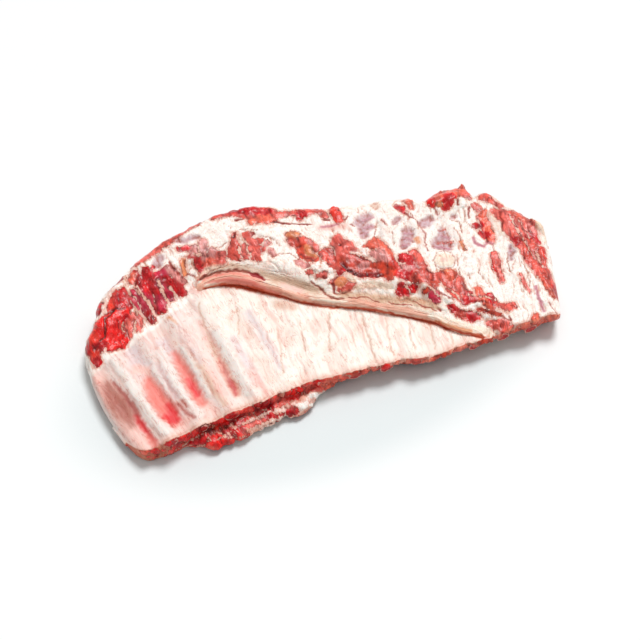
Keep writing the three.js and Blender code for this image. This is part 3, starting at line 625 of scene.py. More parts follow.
# The torn brown and red meat behind the flap, from left to right
MIDDLE_MEAT = stroke_table(
    (T.OCHRE, (11, 101, 3), (15, 98, 3.6)),
    (T.BROWN, (8, 94, 2.4), (10, 88, 3)),
    (T.BRICK, (17, 88, 4.5), (21, 82, 5), (24, 75, 3.6)),
    (T.BROWN, (14, 80, 4.5), (14, 72, 6), (18, 65, 4.4)),
    (T.OCHRE, (19, 79, 1.5), (18, 72, 2), (21, 68, 1)),
    (T.MAROON, (10, 74, 1.2), (13, 66, 1), (17, 62, 1)),
    (T.MAUVE, (4, 66, 2.4), (8, 60, 2.6)),
    (T.ROSE, (8, 50, 2)),
    (T.BRICK, (29, 66, 3), (34, 66, 4.6), (31, 58, 5.6), (35, 50, 5.4), (34, 43, 3.6), (33, 38, 1.6)),
    (T.ROSE, (50, 78, 3.6), (48, 72, 6), (50, 64, 8), (46, 57, 6)),
    (T.BRICK, (48, 75, 3), (52, 68, 4)),
    (T.BRICK, (45, 50, 6.4), (52, 44, 7), (58, 38, 6), (50, 36, 5), (60, 31, 5)),
    (T.MAUVE, (57, 37, 3), (62, 34, 2.4)),
    (T.ROSE, (56, 60, 3.4), (57, 66, 2)),
    (T.BROWN, (40, 50, 2), (41, 42, 3), (45, 34, 3), (50, 28, 3), (62, 22, 4), (70, 21, 4)),
    (T.DARK, (40, 47, 0.2), (41, 40, 0.8), (45, 32, 0.9), (52, 26, 0.8), (62, 21, 1.8), (69, 20, 1.4)),
    (T.VERMILION, (76, 57, 4.4), (80, 59, 4), (83, 51, 3), (83, 42, 3), (81, 34, 4)),
    (T.SCARLET, (81, 30, 4), (81, 22, 4), (79, 16, 3)),
    (T.VERMILION, (69, 57, 1.6), (75, 56, 2)),
    (T.MAUVE, (72, 46, 3.4), (75, 44, 5), (76, 36, 4)),
    (T.BROWN, (66, 32, 3.4), (72, 29, 4), (74, 21, 4), (71, 15, 3.4)),
    (T.FAT, (52, 57, 1.4), (58, 51, 1.8), (64, 48, 2.4), (67, 55, 3)),
    (T.WISP, (61, 46, 0.8), (66, 38, 0.7)),
    (T.FAT, (22, 53, 6), (14, 55, 4), (26, 44, 3)),
    (T.WISP, (25, 66, 0.8), (23, 56, 1)),
    (T.BRICK, (21, 30, 1.8), (30, 28, 5), (30, 20, 5.6), (35, 22, 3.6)),
    (T.OCHRE, (31, 29, 3), (27, 26, 2.4)),
    (T.MAROON, (29, 34, 0.9), (23, 31, 1.1), (20, 24, 1.4), (18, 18, 1.2), (24, 14, 1.1), (32, 15, 1.1)),
    (T.CRIMSON, (32, 37, 1.4), (36, 40, 1.2)),
    (T.CAUL, (39, 30, 3), (40, 24, 3.4)),
    (T.ROSE, (13, 43, 1.6), (19, 42, 2.4)),
    (T.MAROON, (17, 39, 1.8), (19, 38, 1.2)),
    (T.CAUL, (40, 16, 3), (48, 16, 3), (56, 12, 4), (66, 5, 4)),
    (T.CRIMSON, (94, 30, 4), (100, 27, 5), (98, 20, 5), (90, 14, 5)),
    (T.BRICK, (105, 32, 3), (106, 24, 3), (104, 14, 4)),
    (T.MAUVE, (90, 17, 2.4), (88, 21, 1.2)),
    (T.CRIMSON, (84, 12, 3.4), (86, 6, 3), (93, 7, 3.4)),
    (T.BRICK, (94, 2, 5), (100, 5, 7), (104, -4, 5)),
    (T.MAROON, (107, 8, 1.2), (108, 0, 1.4), (105, -8, 1.4)),
    (T.CRIMSON, (73, -13, 2.6), (75, -6, 4.4), (77, 1, 2.4)),
    (T.CRIMSON, (83, -7, 3.6), (87, -5, 2.2)),
    (T.WISP, (79, -1, 0.8), (80, -8, 0.6)),
    (T.FAT, (84, 1, 2)),
    (T.WISP, (91, -8, 1.4), (95, -5, 1.2)),
    (T.BROWN, (106, -9, 1.8), (100, -13, 2.4), (93, -15, 1.4)),
    (T.MAROON, (70, -15, 0.8), (76, -18, 0.8)),
    (T.PLUM, (97, -22, 3.6), (101, -21, 2.4), (97, -28, 1.8)),
    (T.MAROON, (95, -36, 0.9), (95, -42, 0.7)),
    (T.BRICK, (114, -4, 4), (121, -8, 8), (121, -20, 9), (119, -30, 6.4), (123, -37, 5)),
    (T.VERMILION, (124, -6, 4), (123, -10, 3)),
    (T.CRIMSON, (119, -41, 2), (128, -42, 2.6), (127, -34, 2.4)),
    (T.MAROON, (128, -22, 0.9), (129, -36, 1.1)),
    (T.MAROON, (112, -20, 0.7), (120, -22, 0.8)),
    (T.CRIMSON, (106, -40, 1.4), (107, -46, 2.4), (112, -50, 1.4)),
    (T.BRICK, (108, -52, 2), (116, -57, 5), (121, -61, 3.6)),
    (T.CRIMSON, (118, -62, 2.4), (119, -56, 2)),
    (T.FAT, (122, -49, 3), (130, -49, 3.4)),
    (T.FAT, (128, -59, 3.4), (131, -63, 3)),
    (T.VERMILION, (138, -33, 2.6), (136, -40, 3.6), (139, -50, 3.6), (138, -57, 2.6)),
    (T.CRIMSON, (144, -44, 2.4), (144, -52, 2.4)),
    (T.BRICK, (146, -57, 2.6), (152, -62, 4.6), (158, -63, 2.6)),
    (T.MAROON, (157, -62, 0.7), (160, -66, 0.7)),
    (T.MAROON, (150, -71, 0.6), (148, -77, 0.7)),
    (T.ROSE, (129, -72, 2.6), (134, -78, 6), (141, -78, 4.6)),
    (T.BRICK, (134, -83, 5), (138, -86, 4), (147, -88, 2.6)),
    (T.MAROON, (132, -89, 1.4), (135, -87, 0.9)),
    (T.VERMILION, (161, -90, 1.2), (167, -86, 3.4), (171, -81, 1.2)),
)
# The right end: strands at the lip's end, the ring of cartilage, the lump and the long muscle
RIGHT_MEAT = stroke_table(
    (T.WISP, (92, -3, 0.4), (99, -12, 0.9), (101, -24, 0.9), (107, -33, 0.5)),
    (T.WISP, (107, -13, 0.4), (114, -19, 0.9), (118, -30, 1.1), (116, -40, 0.6)),
    (T.MAROON, (103, -14, 0.2), (106, -25, 0.7), (111, -35, 0.3)),
    (T.WISP, (122, -33, 0.5), (131, -38, 1), (141, -46, 0.8), (149, -52, 0.4)),
    (T.MAROON, (126, -45, 0.2), (135, -47, 0.7), (143, -56, 0.3)),
    (T.FAT, (112, -47, 1), (120, -50, 2), (131, -56, 2.4), (139, -62, 1.6)),
    (T.BROWN, (126, -54, 0.4), (133, -60, 1), (142, -67, 0.6)),
    (T.WISP, (143, -62, 0.5), (149, -66, 1.1), (152, -73, 0.5)),
    (T.MAROON, (136, -66, 0.3), (143, -70, 0.8), (147, -76, 0.3)),
    (T.CREAM, (127, 12, 9)),
    (T.CREASE_SHADE, (137, 8, 0.2), (138, 17, 0.1), (133, 23, 0.3), (125, 23, 0), (118, 17, 0.2), (116, 8, 0.3),
        (121, 1, 0), (130, 1, 0), (137, 8, 0)),
    (T.CREASE_SHADE, (186, -4, 0.2), (180, -14, 0.3), (176, -30, 0.1)),
    (T.CREASE_SHADE, (156, 8, 0.1), (152, -6, 0.3), (148, -24, 0.2)),
    (T.CREASE_SHADE, (176, 60, 0.2), (170, 48, 0.3), (171, 36, 0.2)),
    (T.CREASE_SHADE, (192, -20, 0.1), (190, -34, 0.3), (184, -50, 0.1)),
    (T.AMBER, (115, 4, 0.2), (121, -1, 0.7), (131, -3, 0.4)),
    (T.CREASE_SHADE, (139, 7, 0.1), (132, -10, 0.3), (130, -28, 0.2)),
    (T.CREASE_SHADE, (146, 4, 0.1), (138, -18, 0.2)),
    (T.THREAD, (166, 28, 0.6), (164, 19, 0.8), (167, 13, 0.8), (174, 13, 0.7)),
    (T.MAROON, (180, 12, 0.2), (176, 4, 0.4), (171, -4, 0.2)),
    (T.MAROON, (189, -74, 0.3), (189, -87, 0.4)),
    (T.ROSE, (182, -33, -0.2), (180, -45, 0.6), (179, -56, -0.2)),
    (T.BLUSH, (127, 13, 2.6)),
    (T.FAT, (145, -6, 8), (150, 12, 8)),
    (T.VERMILION, (150, 83, 3), (157, 86, 6), (165, 86, 7), (174, 85, 6), (181, 84, 4.4)),
    (T.VERMILION, (185, 83, 3.6), (190, 90, 2.6), (192, 94, 1.2)),
    (T.SPIKE, (189, 89, 1), (192, 96, 1.6)),
    (T.SPIKE, (166, 91, 0.6), (170, 92, 1)),
    (T.FRILL, (226, 22, 1.5), (230, 12, 3), (230, 0, 2.6), (226, -8, 1.2)),
    (T.ROSE, (187, 79, 2), (188, 73, 1.4)),
    (T.BRIGHT, (149, 79, 2.4), (152, 84, 1.8)),
    (T.CRIMSON, (160, 71, 2.6), (165, 76, 4), (170, 81, 3.4)),
    (T.MAROON, (149, 75, 0.9), (149.5, 65, 0.6)),
    (T.OCHRE, (156, 77, 2.6)),
    (T.MAROON, (176, 76, 0.8), (173, 70, 0.9)),
    (T.FAT, (180, 74, 2.8), (177, 67, 2.8)),
    (T.CRIMSON, (118, 91, 1.8), (121, 88, 2.4), (121, 82, 0.9)),
    (T.MAROON, (122, 80, 0.7), (123, 75, 0.7), (126, 72, 0.7)),
    (T.VERMILION, (131, 93, 2.8), (130, 85, 1.4)),
    (T.BLUSH, (130, 97, 1.6), (117, 104, 1.6)),
    (T.BRICK, (188, 62, 2.6), (189, 55, 2.2)),
    (T.VERMILION, (191, 51, 2.4), (187, 46, 3.6), (185, 36, 4), (182, 25, 3.6), (180, 16, 2.4)),
    (T.CRIMSON, (176, 38, 2.6), (180, 37, 2.4)),
    (T.CRIMSON, (176, 28, 2), (178, 23, 2.6)),
    (T.STRIPE, (170, 12, 0.9), (176, 15, 1.4), (180, 12, 1.2)),
    (T.STRIPE, (165, 26, 1.4), (165, 17, 2.2), (169, 11, 1.6)),
    (T.MAROON, (182, 63, 0.8), (178, 57, 0.9), (175, 50, 0.6)),
    (T.OCHRE, (153, 26, 0.9), (150, 15, 0.7)),
    (T.BRIGHT, (173, -2, 2.6), (170, -11, 3.4), (166, -21, 2.2), (165, -27, 1.2)),
    (T.ROSE, (173, -3, 2.2), (164, -33, 1.2)),
    (T.PURPLE, (192, 1, 2.4), (189, -6, 3.4), (184, -13, 1.6)),
    (T.STRIPE, (190, -4, 1.2)),
    (T.STRIPE, (187, -52, 1.4), (183, -68, 1.6), (180, -80, 1.4)),
    (T.BRICK, (198, 68, 1.6), (203, 66, 4.4), (206, 60, 2.2)),
    (T.ROSE, (207, 58, 1.6), (210, 51, 1.6)),
    (T.ROSE, (202, 46, 4), (206, 38, 7), (212, 30, 11), (212, 20, 14), (211, 8, 12), (208, -4, 9)),
    (T.BRICK, (201, 8, 4), (204, -8, 6), (202, -24, 5.4), (199, -38, 3.4)),
    (T.MAROON, (205, 45, 0.9), (201, 32, 1), (196, 22, 0.8)),
    (T.MAROON, (204, 10, 0.7), (207, -12, 0.8)),
    (T.CRIMSON, (199, 8, 1.8), (200, 2, 1.6)),
    (T.CRIMSON, (216, 4, 3.2), (218, -5, 2.6)),
    (T.MAROON, (214, 16, 0.5), (220, 8, 0.7)),
    (T.VERMILION, (218, 36, 2.2), (221, 28, 2.4)),
    (T.SCARLET, (216, -16, 3), (211, -25, 3.6), (207, -32, 1.4)),
    (T.VERMILION, (201, -44, 2.4), (199, -56, 2.6), (197, -66, 2.4), (197, -70, 1)),
    (T.BRICK, (211, -4, 5), (208, -20, 4.4), (205, -36, 3.6), (203, -52, 3), (201, -66, 2)),
    (T.CRIMSON, (204, -60, 1), (202, -68, 1.6), (201, -74, 1)),
    (T.WISP, (197, 48, 1.4), (195, 34, 1.8), (192, 18, 1.8)),
    (T.WISP, (211, 36, 0.4), (207, 6, 0.5), (205, -20, 0.4)),
    (T.WISP, (216, 30, 0.4), (214, 4, 0.5)),
    (T.WISP, (210, -14, 1), (206, -34, 0.8)),
)
# The sawn front face and the trimmings under it
FRONT_FACE = stroke_table(
    (T.VERMILION, (-201, -73, 2), (-193, -73, 3.4)),
    (T.BRIGHT, (-194, -71, 1.8), (-192, -76, 1.8)),
    (T.CRIMSON, (-178, -74, 2.4), (-172, -73, 2)),
    (T.BRIGHT, (-164, -76, 2.4), (-155, -75, 2.6)),
    (T.DARK, (-147, -71, 3.6), (-145, -76, 3.4)),
    (T.CRIMSON, (-162, -82, 1.8), (-155, -85, 2.8), (-150, -82, 2.4)),
    (T.WISP, (-173, -82, 0.8), (-168, -80, 0.9)),
    (T.WISP, (-166, -79, 0.6), (-153, -79, 0.7)),
    (T.BRIGHT, (-133, -74, 2), (-127, -73, 3.4)),
    (T.CRIMSON, (-119, -75, 5.6), (-112, -74, 2)),
    (T.DARK, (-135, -82, 1.4), (-126, -80, 2)),
    (T.CRIMSON, (-129, -87, 4.6), (-118, -84, 5)),
    (T.BRIGHT, (-143, -87, 5), (-139, -92, 4)),
    (T.WISP, (-149, -83, 0.9), (-141, -80, 1.1), (-134, -86, 0.9), (-133, -92, 0.7)),
    (T.WISP, (-150, -86, 0.7), (-136, -90, 0.8), (-122, -89, 0.9), (-108, -90, 0.7)),
    (T.WISP, (-126, -83, 0.8), (-112, -82, 0.9), (-98, -82, 0.9), (-88, -83, 0.7)),
    (T.WISP, (-110, -91, 0.8), (-92, -91, 1), (-78, -91, 0.8)),
    (T.ROSE, (-106, -75, 3.4)),
    (T.CRIMSON, (-95, -74, 4.4), (-88, -74, 4.4)),
    (T.ROSE, (-78, -74, 3.4)),
    (T.BRIGHT, (-64, -73, 4), (-58, -68, 3.4)),
    (T.ROSE, (-50, -71, 3), (-45, -72, 3)),
    (T.BRIGHT, (-38, -67, 3.4), (-36, -70, 2.4)),
    (T.VERMILION, (-33, -73, 3.4), (-27, -73, 3)),
    (T.ROSE, (-112, -87, 1.4), (-104, -85, 1.4), (-97, -87, 2), (-84, -88, 1.6)),
    (T.CRIMSON, (-94, -82, 2), (-84, -90, 2.6), (-72, -88, 2.4)),
    (T.FAT, (-132, -85, 0.3), (-118, -84, 0.9), (-98, -80, 1.3), (-80, -81, 1.5), (-57, -83, 2)),
    (T.FAT, (-111, -90, 1), (-93, -90, 1.8), (-74, -90, 2), (-53, -88, 3), (-38, -86, 3)),
    (T.WISP, (-123, -76, 0.5), (-105, -76, 0.9), (-86, -76, 0.6)),
    (T.WISP, (-172, -77, 0.4), (-159, -77, 0.7), (-141, -79, 0.5), (-124, -78, 0.7)),
    (T.MAROON, (-160, -80, 0.3), (-146, -79, 0.7), (-127, -79, 0.9), (-112, -80, 0.3)),
    (T.FAT, (-104, -93, 1.8), (-95, -95, 2.4), (-85, -95, 2.4), (-76, -95, 1.8)),
    (T.FAT, (-84, -81, 1.8), (-76, -85, 2.8)),
    (T.MAROON, (-77, -81, 0.5), (-68, -84, 0.5)),
    (T.CRIMSON, (-74, -89, 3.6), (-71, -90, 2.4)),
    (T.FAT, (-66, -82, 3), (-62, -88, 4.4), (-57, -84, 4)),
    (T.FAT, (-51, -80, 4), (-44, -82, 5), (-39, -81, 3.6)),
    (T.WISP, (-24, -77, 1), (-14, -79, 1)),
    (T.BRIGHT, (22, -80, 3)),
    (T.BRICK, (48, -84, 4)),
    (T.BROWN, (68, -91, 4.4), (75, -88, 3.4)),
    (T.ROSE, (86, -91, 3), (100, -93, 3.4)),
    (T.BROWN, (110, -86, 2.6), (116, -92, 3.4)),
    (T.BROWN, (-5, -72, 3.4)),
    (T.VERMILION, (148, -93, 3), (180, -94, 3)),
)
# The dark line under the flap's lip, as x, y and half width
LIP_SHADOW = (
    (-88, 74, 0.8), (-76, 73, 1.1), (-68, 70, 1.6), (-60, 64.5, 2.2), (-50, 56, 2.6), (-42, 49, 2.4),
    (-34, 40, 1.8), (-24, 31, 1.4), (-10, 18, 1.8), (0, 9.5, 1.6), (10, 3.5, 1.4), (22, -2, 1.4),
    (32, -8, 1.4), (45, -18, 1.4), (60, -31, 1.4), (70, -39, 1.4), (80, -47, 1.6), (86, -54, 1.6),
    (90, -61, 1.6), (97, -68, 1.6), (105, -75, 1.4), (113, -81, 2), (117, -88, 2.4),
)
# The flap: its lip, the rosy muscle in the roll, folds and film, a painted highlight along the roll and the
# painted shadow line under the lip
SKIRT = stroke_table(
    (T.SKIN, (-88, 88, 2), (-74, 93, 3.4), (-58, 90, 4), (-44, 80, 4), (-34, 70, 4)),
    (T.LIP_AND_HIGHLIGHT, (-96, 72, 3), (-90, 77, 4), (-84, 82, 2)),
    (T.GREYISH, (-31, 67, 3), (-22, 56, 5), (-12, 46, 6), (-3, 37, 6), (5, 28, 4)),
    (T.FILM, (24, 13, 4), (44, 1, 5), (62, -11, 5), (80, -22, 5), (92, -34, 5)),
    (T.MAROON, (28, 8, 0.4), (42, 1, 0.4), (50, -7, 0.4)),
    (T.MAROON, (58, -12, 0.4), (74, -25, 0.4)),
    (T.MAROON, (78, -21, 0.4), (92, -40, 0.5)),
    (T.BLUSH, (-20, 46, 3), (-10, 34, 3)),
    (T.LIP_AND_HIGHLIGHT, (-36, 50, 3), (-22, 37, 4), (-8, 24, 4), (6, 13, 4), (30, 1, 4)),
    (T.LIP_AND_HIGHLIGHT, (30, 1, 4), (50, -13, 4), (64, -25, 4), (76, -36, 3.4), (84, -44, 3)),
    (T.CREAM, (-4, 22, 1.4), (12, 10, 1.8), (24, 5, 1)),
    (T.CREAM, (84, -42, 2), (96, -56, 5), (110, -71, 5), (126, -86, 6)),
    (T.AMBER, (86, -50, 1.4), (95, -61, 1.6), (108, -73, 2.4)),
    (T.MUSCLE, (-84, 80, 1.4), (-74, 78, 2.6), (-62, 73, 4), (-52, 66, 5), (-44, 57, 5), (-36, 47, 3),
        (-28, 38, 1.4)),
    (T.MUSCLE, (-84, 84.5, 1.4), (-70, 84, 2), (-56, 79, 2.6), (-46, 71, 3), (-39, 61, 2.6),
        (-34, 53, 1.4)),
    # A painted highlight along the roll
    (T.LIP_AND_HIGHLIGHT, (-90, 80, 1.4), (-76, 81, 1.6), (-62, 79, 1.5), (-49, 72, 1.5), (-40, 62, 1.5), (-33, 52, 1.8),
        (-25, 43, 2)),
    (T.FOLD, (-87, 86, 1), (-75, 87.5, 1.3), (-62, 86, 1.3), (-51, 81, 1.5), (-42, 75, 1.2)),
    (T.CRIMSON_FOLD, (-41, 74.5, 1), (-38, 69, 2.2), (-35, 64, 1.5), (-33, 60, 0.8)),
    (T.FOLD, (5, 40, 0.8), (8, 31, 0.9), (10, 21, 1), (13, 14.5, 1.2), (22, 9, 0.8)),
    (T.SHADOW, *LIP_SHADOW),
)


class Paint:
    """The tissue at each point of a piece: where it is lean, its colours, grain and relief."""

    # Widths of the waves by which strokes' edges and the grain wander, in mm
    WIDE_WANDER = 9.0
    FINE_WANDER = 3.4
    GRAIN_WANDER = 16.0
    # How far outside the lean plain fat counts as lying, in mm
    FAR = 8.0
    # How fast the lean's streaks change along the grain, across it and in height
    STREAKS = (0.07, 0.24, 0.24)

    def __init__(self, p: Array, ground: Colour) -> None:
        """Starts with plain fat everywhere.

        Args:
            p: The piece's points, (rows, columns, 3).
            ground: The colour of the fat, as it shows on a screen.
        """
        wide = np.stack([NOISE.field(p + shift, self.WIDE_WANDER) for shift in (3.0, 57.0)], axis=-1)
        fine = np.stack([NOISE.field(p + shift, self.FINE_WANDER) for shift in (91.0, 17.0)], axis=-1)
        self.place = sight(p) + 1.3 * wide + fine
        self.lean = np.full(p.shape[:2], -self.FAR)
        self.tint = np.broadcast_to(T.BRICK.value.colour, p.shape).copy()
        self.ground = np.broadcast_to(ground, p.shape).copy()
        q = PLAN.fan_q(p[..., 0], p[..., 1]) + 2.0 * NOISE.field(p + 23.0, self.GRAIN_WANDER)
        self.grain = np.stack([p[..., 1], q, 0.5 * p[..., 2]], axis=-1)
        self.lift = np.zeros(p.shape[:2])

    def mottle(self) -> None:
        """Makes the lean lighter and darker in streaks along the grain."""
        streaks = NOISE.layers(self.grain * np.array(self.STREAKS) + 300.0, 1.0, 2)
        self.tint *= 1.04 + 0.26 * streaks[..., None]

    @staticmethod
    def inside(place: Array, line: Array) -> Array:
        """Gives how far points lie inside a stroke's edge, in mm.

        On each straight part the point's foot is at k = (p - a).(b - a) / |b - a|^2, held
        between 0 and 1. Its half width there less its distance counts, and the largest wins.

        Args:
            place: Points, (n, 2).
            line: The stroke's line, (m, 3).

        Returns:
            Distances, below 0 outside.
        """
        best = np.full(len(place), -99.0)
        for a, b in zip(line, np.concatenate([line[1:], line[-1:]])):
            run = b[:2] - a[:2]
            k = np.clip((place - a[:2]) @ run / max(run @ run, 1e-6), 0.0, 1.0)
            gap = np.linalg.norm(place - a[:2] - k[:, None] * run, axis=-1)
            best = np.maximum(best, a[2] + (b[2] - a[2]) * k - gap)
        return best

    def add(self, strokes: tuple[Stroke, ...], share: Array | float = 1.0) -> None:
        """Lays strokes on in turn, each over those before it.

        Lean keeps its edge as a distance in mm, so that the finish can draw it finer than the
        mesh. Fat pushes that distance down, and a stain only mixes its colour in.

        Args:
            strokes: The strokes.
            share: How strongly they show at each point.
        """
        share = np.broadcast_to(share, self.lean.shape)
        for stroke in strokes:
            look, line = stroke.tissue.value, np.array(stroke.line, float)
            margin = line[:, 2].max() + 2.0 * look.soft
            low, high = line[:, :2].min(axis=0) - margin, line[:, :2].max(axis=0) + margin
            near = ((self.place > low) & (self.place < high)).all(axis=-1) & (share > 0.0)
            inside, here = self.inside(self.place[near], line), share[near]
            cover = smoothstep(-look.soft, look.soft, inside) * here
            if look.kind is Kind.LEAN:
                inside = inside + LEAN_SPREAD
                self.lean[near] = np.maximum(self.lean[near], inside - self.FAR * (1.0 - here))
                spread = smoothstep(-1.6 * look.soft, 0.4 * look.soft, inside) * here
                self.tint[near] = mix_colour(self.tint[near], look.colour, spread)
            elif look.kind is Kind.FAT:
                self.lean[near] = np.minimum(self.lean[near], self.FAR * (1.0 - here) - inside)
                self.ground[near] = mix_colour(self.ground[near], look.colour, cover)
            else:
                self.tint[near] = mix_colour(self.tint[near], look.colour, cover)
                self.ground[near] = mix_colour(self.ground[near], look.colour, cover)
            if look.lift:
                self.lift[near] = mix(self.lift[near], look.lift, cover)

    def fields(self, painted_shade: Array, meat: Array) -> dict[str, Array]:
        """Gives what the finish reads at each point.

        Args:
            painted_shade: How much painted shade a point takes, in creases and on undersides, from 0 to 1.
            meat: 1 on trimmed meat and fat, 0 on bare membrane.

        Returns:
            The mesh's attributes by name, as rows.
        """
        numbers = {"lean": self.lean, "painted_shade": painted_shade, "meat": meat}
        vectors = {"tint": linear(self.tint), "ground": linear(self.ground), "grain": self.grain}
        return {key: field.reshape(-1) for key, field in numbers.items()} | {
            key: field.reshape(-1, 3) for key, field in vectors.items()}


@dataclass(frozen=True)
class FleshRelief:
    """The relief of meat and fat, with widths and heights in mm.

    Pairs of heights are for fat and for lean. A run says how fast a noise changes along the
    grain, across it and in height, and bare_shares hold what bare membrane has of the lumps,
    strands and pits.
    """

    lump_width: float = 18.0
    crease_run: tuple[float, float, float] = (0.05, 0.16, 0.16)
    crease_edge: float = 0.09
    crease_patch: float = 20.0
    strand_run: tuple[float, float, float] = (0.10, 0.42, 0.42)
    strand_height: float = 0.3
    lobe_width: float = 9.0
    lobe_drift: float = 3.0
    lobe_heights: tuple[float, float] = (0.5, 0.95)
    pit_width: float = 4.4
    pit_heights: tuple[float, float] = (0.3, 0.42)
    bulge_height: float = 0.9
    bulge_reach: float = 3.0
    bare_shares: tuple[float, float, float] = (0.3, 0.24, 0.05)
    lift_width: float = 3.6
    lift_spread: float = 0.6

    def out(self, p: Array, paint: Paint, meat: Array) -> Array:
        """Gives how far a skin is pushed out along its normals.

        It is the strokes' own lift, wide lumps, creases along the grain where a drawn-out noise
        is near 0, strands along the grain, round lobes, fine pits and the bulge of each piece of
        lean. Bare membrane has only a little of the lumps, strands and pits.

        Args:
            p: The skin's points.
            paint: The tissues on it.
            meat: 1 on trimmed meat and fat, 0 on bare membrane.

        Returns:
            Distances in mm.
        """
        lean = smoothstep(-1.0, 1.0, paint.lean)
        lumps = NOISE.layers(p, self.lump_width, 2)
        drawn = NOISE.field(paint.grain * np.array(self.crease_run), 1.0)
        gate = smoothstep(-0.2, 0.35, NOISE.field(p + 130.0, self.crease_patch))
        crease = np.exp(-((drawn / self.crease_edge) ** 2)) * gate
        strand = NOISE.field(paint.grain * np.array(self.strand_run), 1.0)
        drift = self.lobe_drift * NOISE.field(p, self.lobe_width)[..., None]
        lobes = 1.0 - np.abs(NOISE.field(p + drift, self.lobe_width)) * 2.0
        pits = NOISE.layers(p + 70.0, self.pit_width, 2)
        bulge = self.bulge_height * (1.0 - np.exp(-np.maximum(paint.lean, 0.0) / self.bulge_reach))
        rough = lumps - crease + self.strand_height * strand + mix(*self.lobe_heights, lean) * lobes * gate
        rough = rough + mix(*self.pit_heights, lean) * pits + bulge
        bare = sum(share * field for share, field in zip(self.bare_shares, (lumps, strand, pits)))
        spread = self.lift_spread * meat * NOISE.field(p + 9.0, self.lift_width)
        return mix(bare, rough, meat) + paint.lift * (1.0 + spread)


FLESH = FleshRelief()


def curve_through(rows: Array, count: int) -> Array:
    """Gives points on a smooth curve through rows of points.

    Between rows p1 and p2 it is a cubic in k, whose slope at each row is half the step from the
    row before it to the row after it.

    Args:
        rows: The points to pass through, (stations, rows, 2).
        count: Number of points to give.

    Returns:
        The points, (stations, count, 2), evenly spread over the rows.
    """
    last = rows.shape[1] - 1
    t = np.linspace(0.0, last, count)
    i = np.clip(t.astype(int), 0, last - 1)
    k = (t - i)[None, :, None]
    p0, p1 = rows[:, np.maximum(i - 1, 0)], rows[:, i]
    p2, p3 = rows[:, i + 1], rows[:, np.minimum(i + 2, last)]
    return 0.5 * (2 * p1 + (p2 - p0) * k + (2 * p0 - 5 * p1 + 4 * p2 - p3) * k**2
                  + (3 * p1 - p0 - 3 * p2 + p3) * k**3)


def grid_normals(p: Array) -> Array:
    """Gives each point's outward direction on a grid of closed loops.

    It is the cross product of the steps along the rack and along the loop.

    Args:
        p: The points, (rows, columns, 3).

    Returns:
        Directions of length 1.
    """
    run = np.gradient(p, axis=0)
    turn = np.roll(p, -1, axis=1) - np.roll(p, 1, axis=1)
    n = np.cross(run, turn)
    return n / np.maximum(np.linalg.norm(n, axis=-1, keepdims=True), 1e-9)


def blurred(field: Array, steps: int) -> Array:
    """Averages a field on closed loops with its four neighbours, as many times as steps says."""
    for _ in range(steps):
        ends = np.concatenate([field[:1], field, field[-1:]])
        sides = np.roll(field, 1, axis=1) + np.roll(field, -1, axis=1)
        field = (2.0 * field + ends[:-2] + ends[2:] + sides) / 6.0
    return field


def creases(out: Array, steps: int, depth: float) -> Array:
    """Is 1 where a skin lies depth or more below its surroundings, and 0 where it stands out."""
    return np.clip((blurred(out, steps) - out) / depth, 0.0, 1.0)


def loop_faces(rows: int, columns: int) -> list[Array]:
    """Gives the faces of a grid of closed loops, with a face over each end.

    Args:
        rows: Number of loops.
        columns: Points in a loop.

    Returns:
        The quads and the two end faces, as arrays of point numbers.
    """
    i, j = np.meshgrid(np.arange(rows - 1), np.arange(columns), indexing="ij")
    k = (j + 1) % columns
    quads = np.stack([i * columns + j, (i + 1) * columns + j, (i + 1) * columns + k, i * columns + k], -1)
    ring = np.arange(columns)
    last = (rows - 1) * columns + ring[::-1]
    return [quads.reshape(-1, 4), ring[None], last[None]]


def make_piece(name: str, points: Array, faces: list[Array], fields: dict[str, Array]) -> bpy.types.Object:
    """Puts arrays into a new mesh object.

    Args:
        name: The piece's name.
        points: Places in the plan, in mm.
        faces: Arrays of point numbers, one row for each face.
        fields: Attributes to keep on the points, as (n) numbers or (n, 3) vectors.

    Returns:
        The object, which rides on the rack's body.
    """
    mesh = bpy.data.meshes.new(name)
    places = (points.reshape(-1, 3) + SHIFT) * MM
    mesh.vertices.add(len(places))
    mesh.vertices.foreach_set("co", places.astype(np.float32).ravel())
    sizes = np.concatenate([np.full(len(f), f.shape[1]) for f in faces])
    corners = np.concatenate([f.ravel() for f in faces])
    mesh.loops.add(len(corners))
    mesh.loops.foreach_set("vertex_index", corners.astype(np.int32))
    mesh.polygons.add(len(sizes))
    mesh.polygons.foreach_set("loop_start", (np.cumsum(sizes) - sizes).astype(np.int32))
    mesh.polygons.foreach_set("use_smooth", np.ones(len(sizes), bool))
    mesh.update(calc_edges=True)
    mesh.validate()
    for key, field in fields.items():
        vector = field.ndim > 1 and field.shape[-1] == 3
        attribute = mesh.attributes.new(key, "FLOAT_VECTOR" if vector else "FLOAT", "POINT")
        attribute.data.foreach_set("vector" if vector else "value", field.astype(np.float32).ravel())
    piece = bpy.data.objects.new(name, mesh)
    bpy.context.scene.collection.objects.link(piece)
    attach(piece, BODY)
    log.info("%s: %d points, %d faces", name, len(places), len(sizes))
    return piece


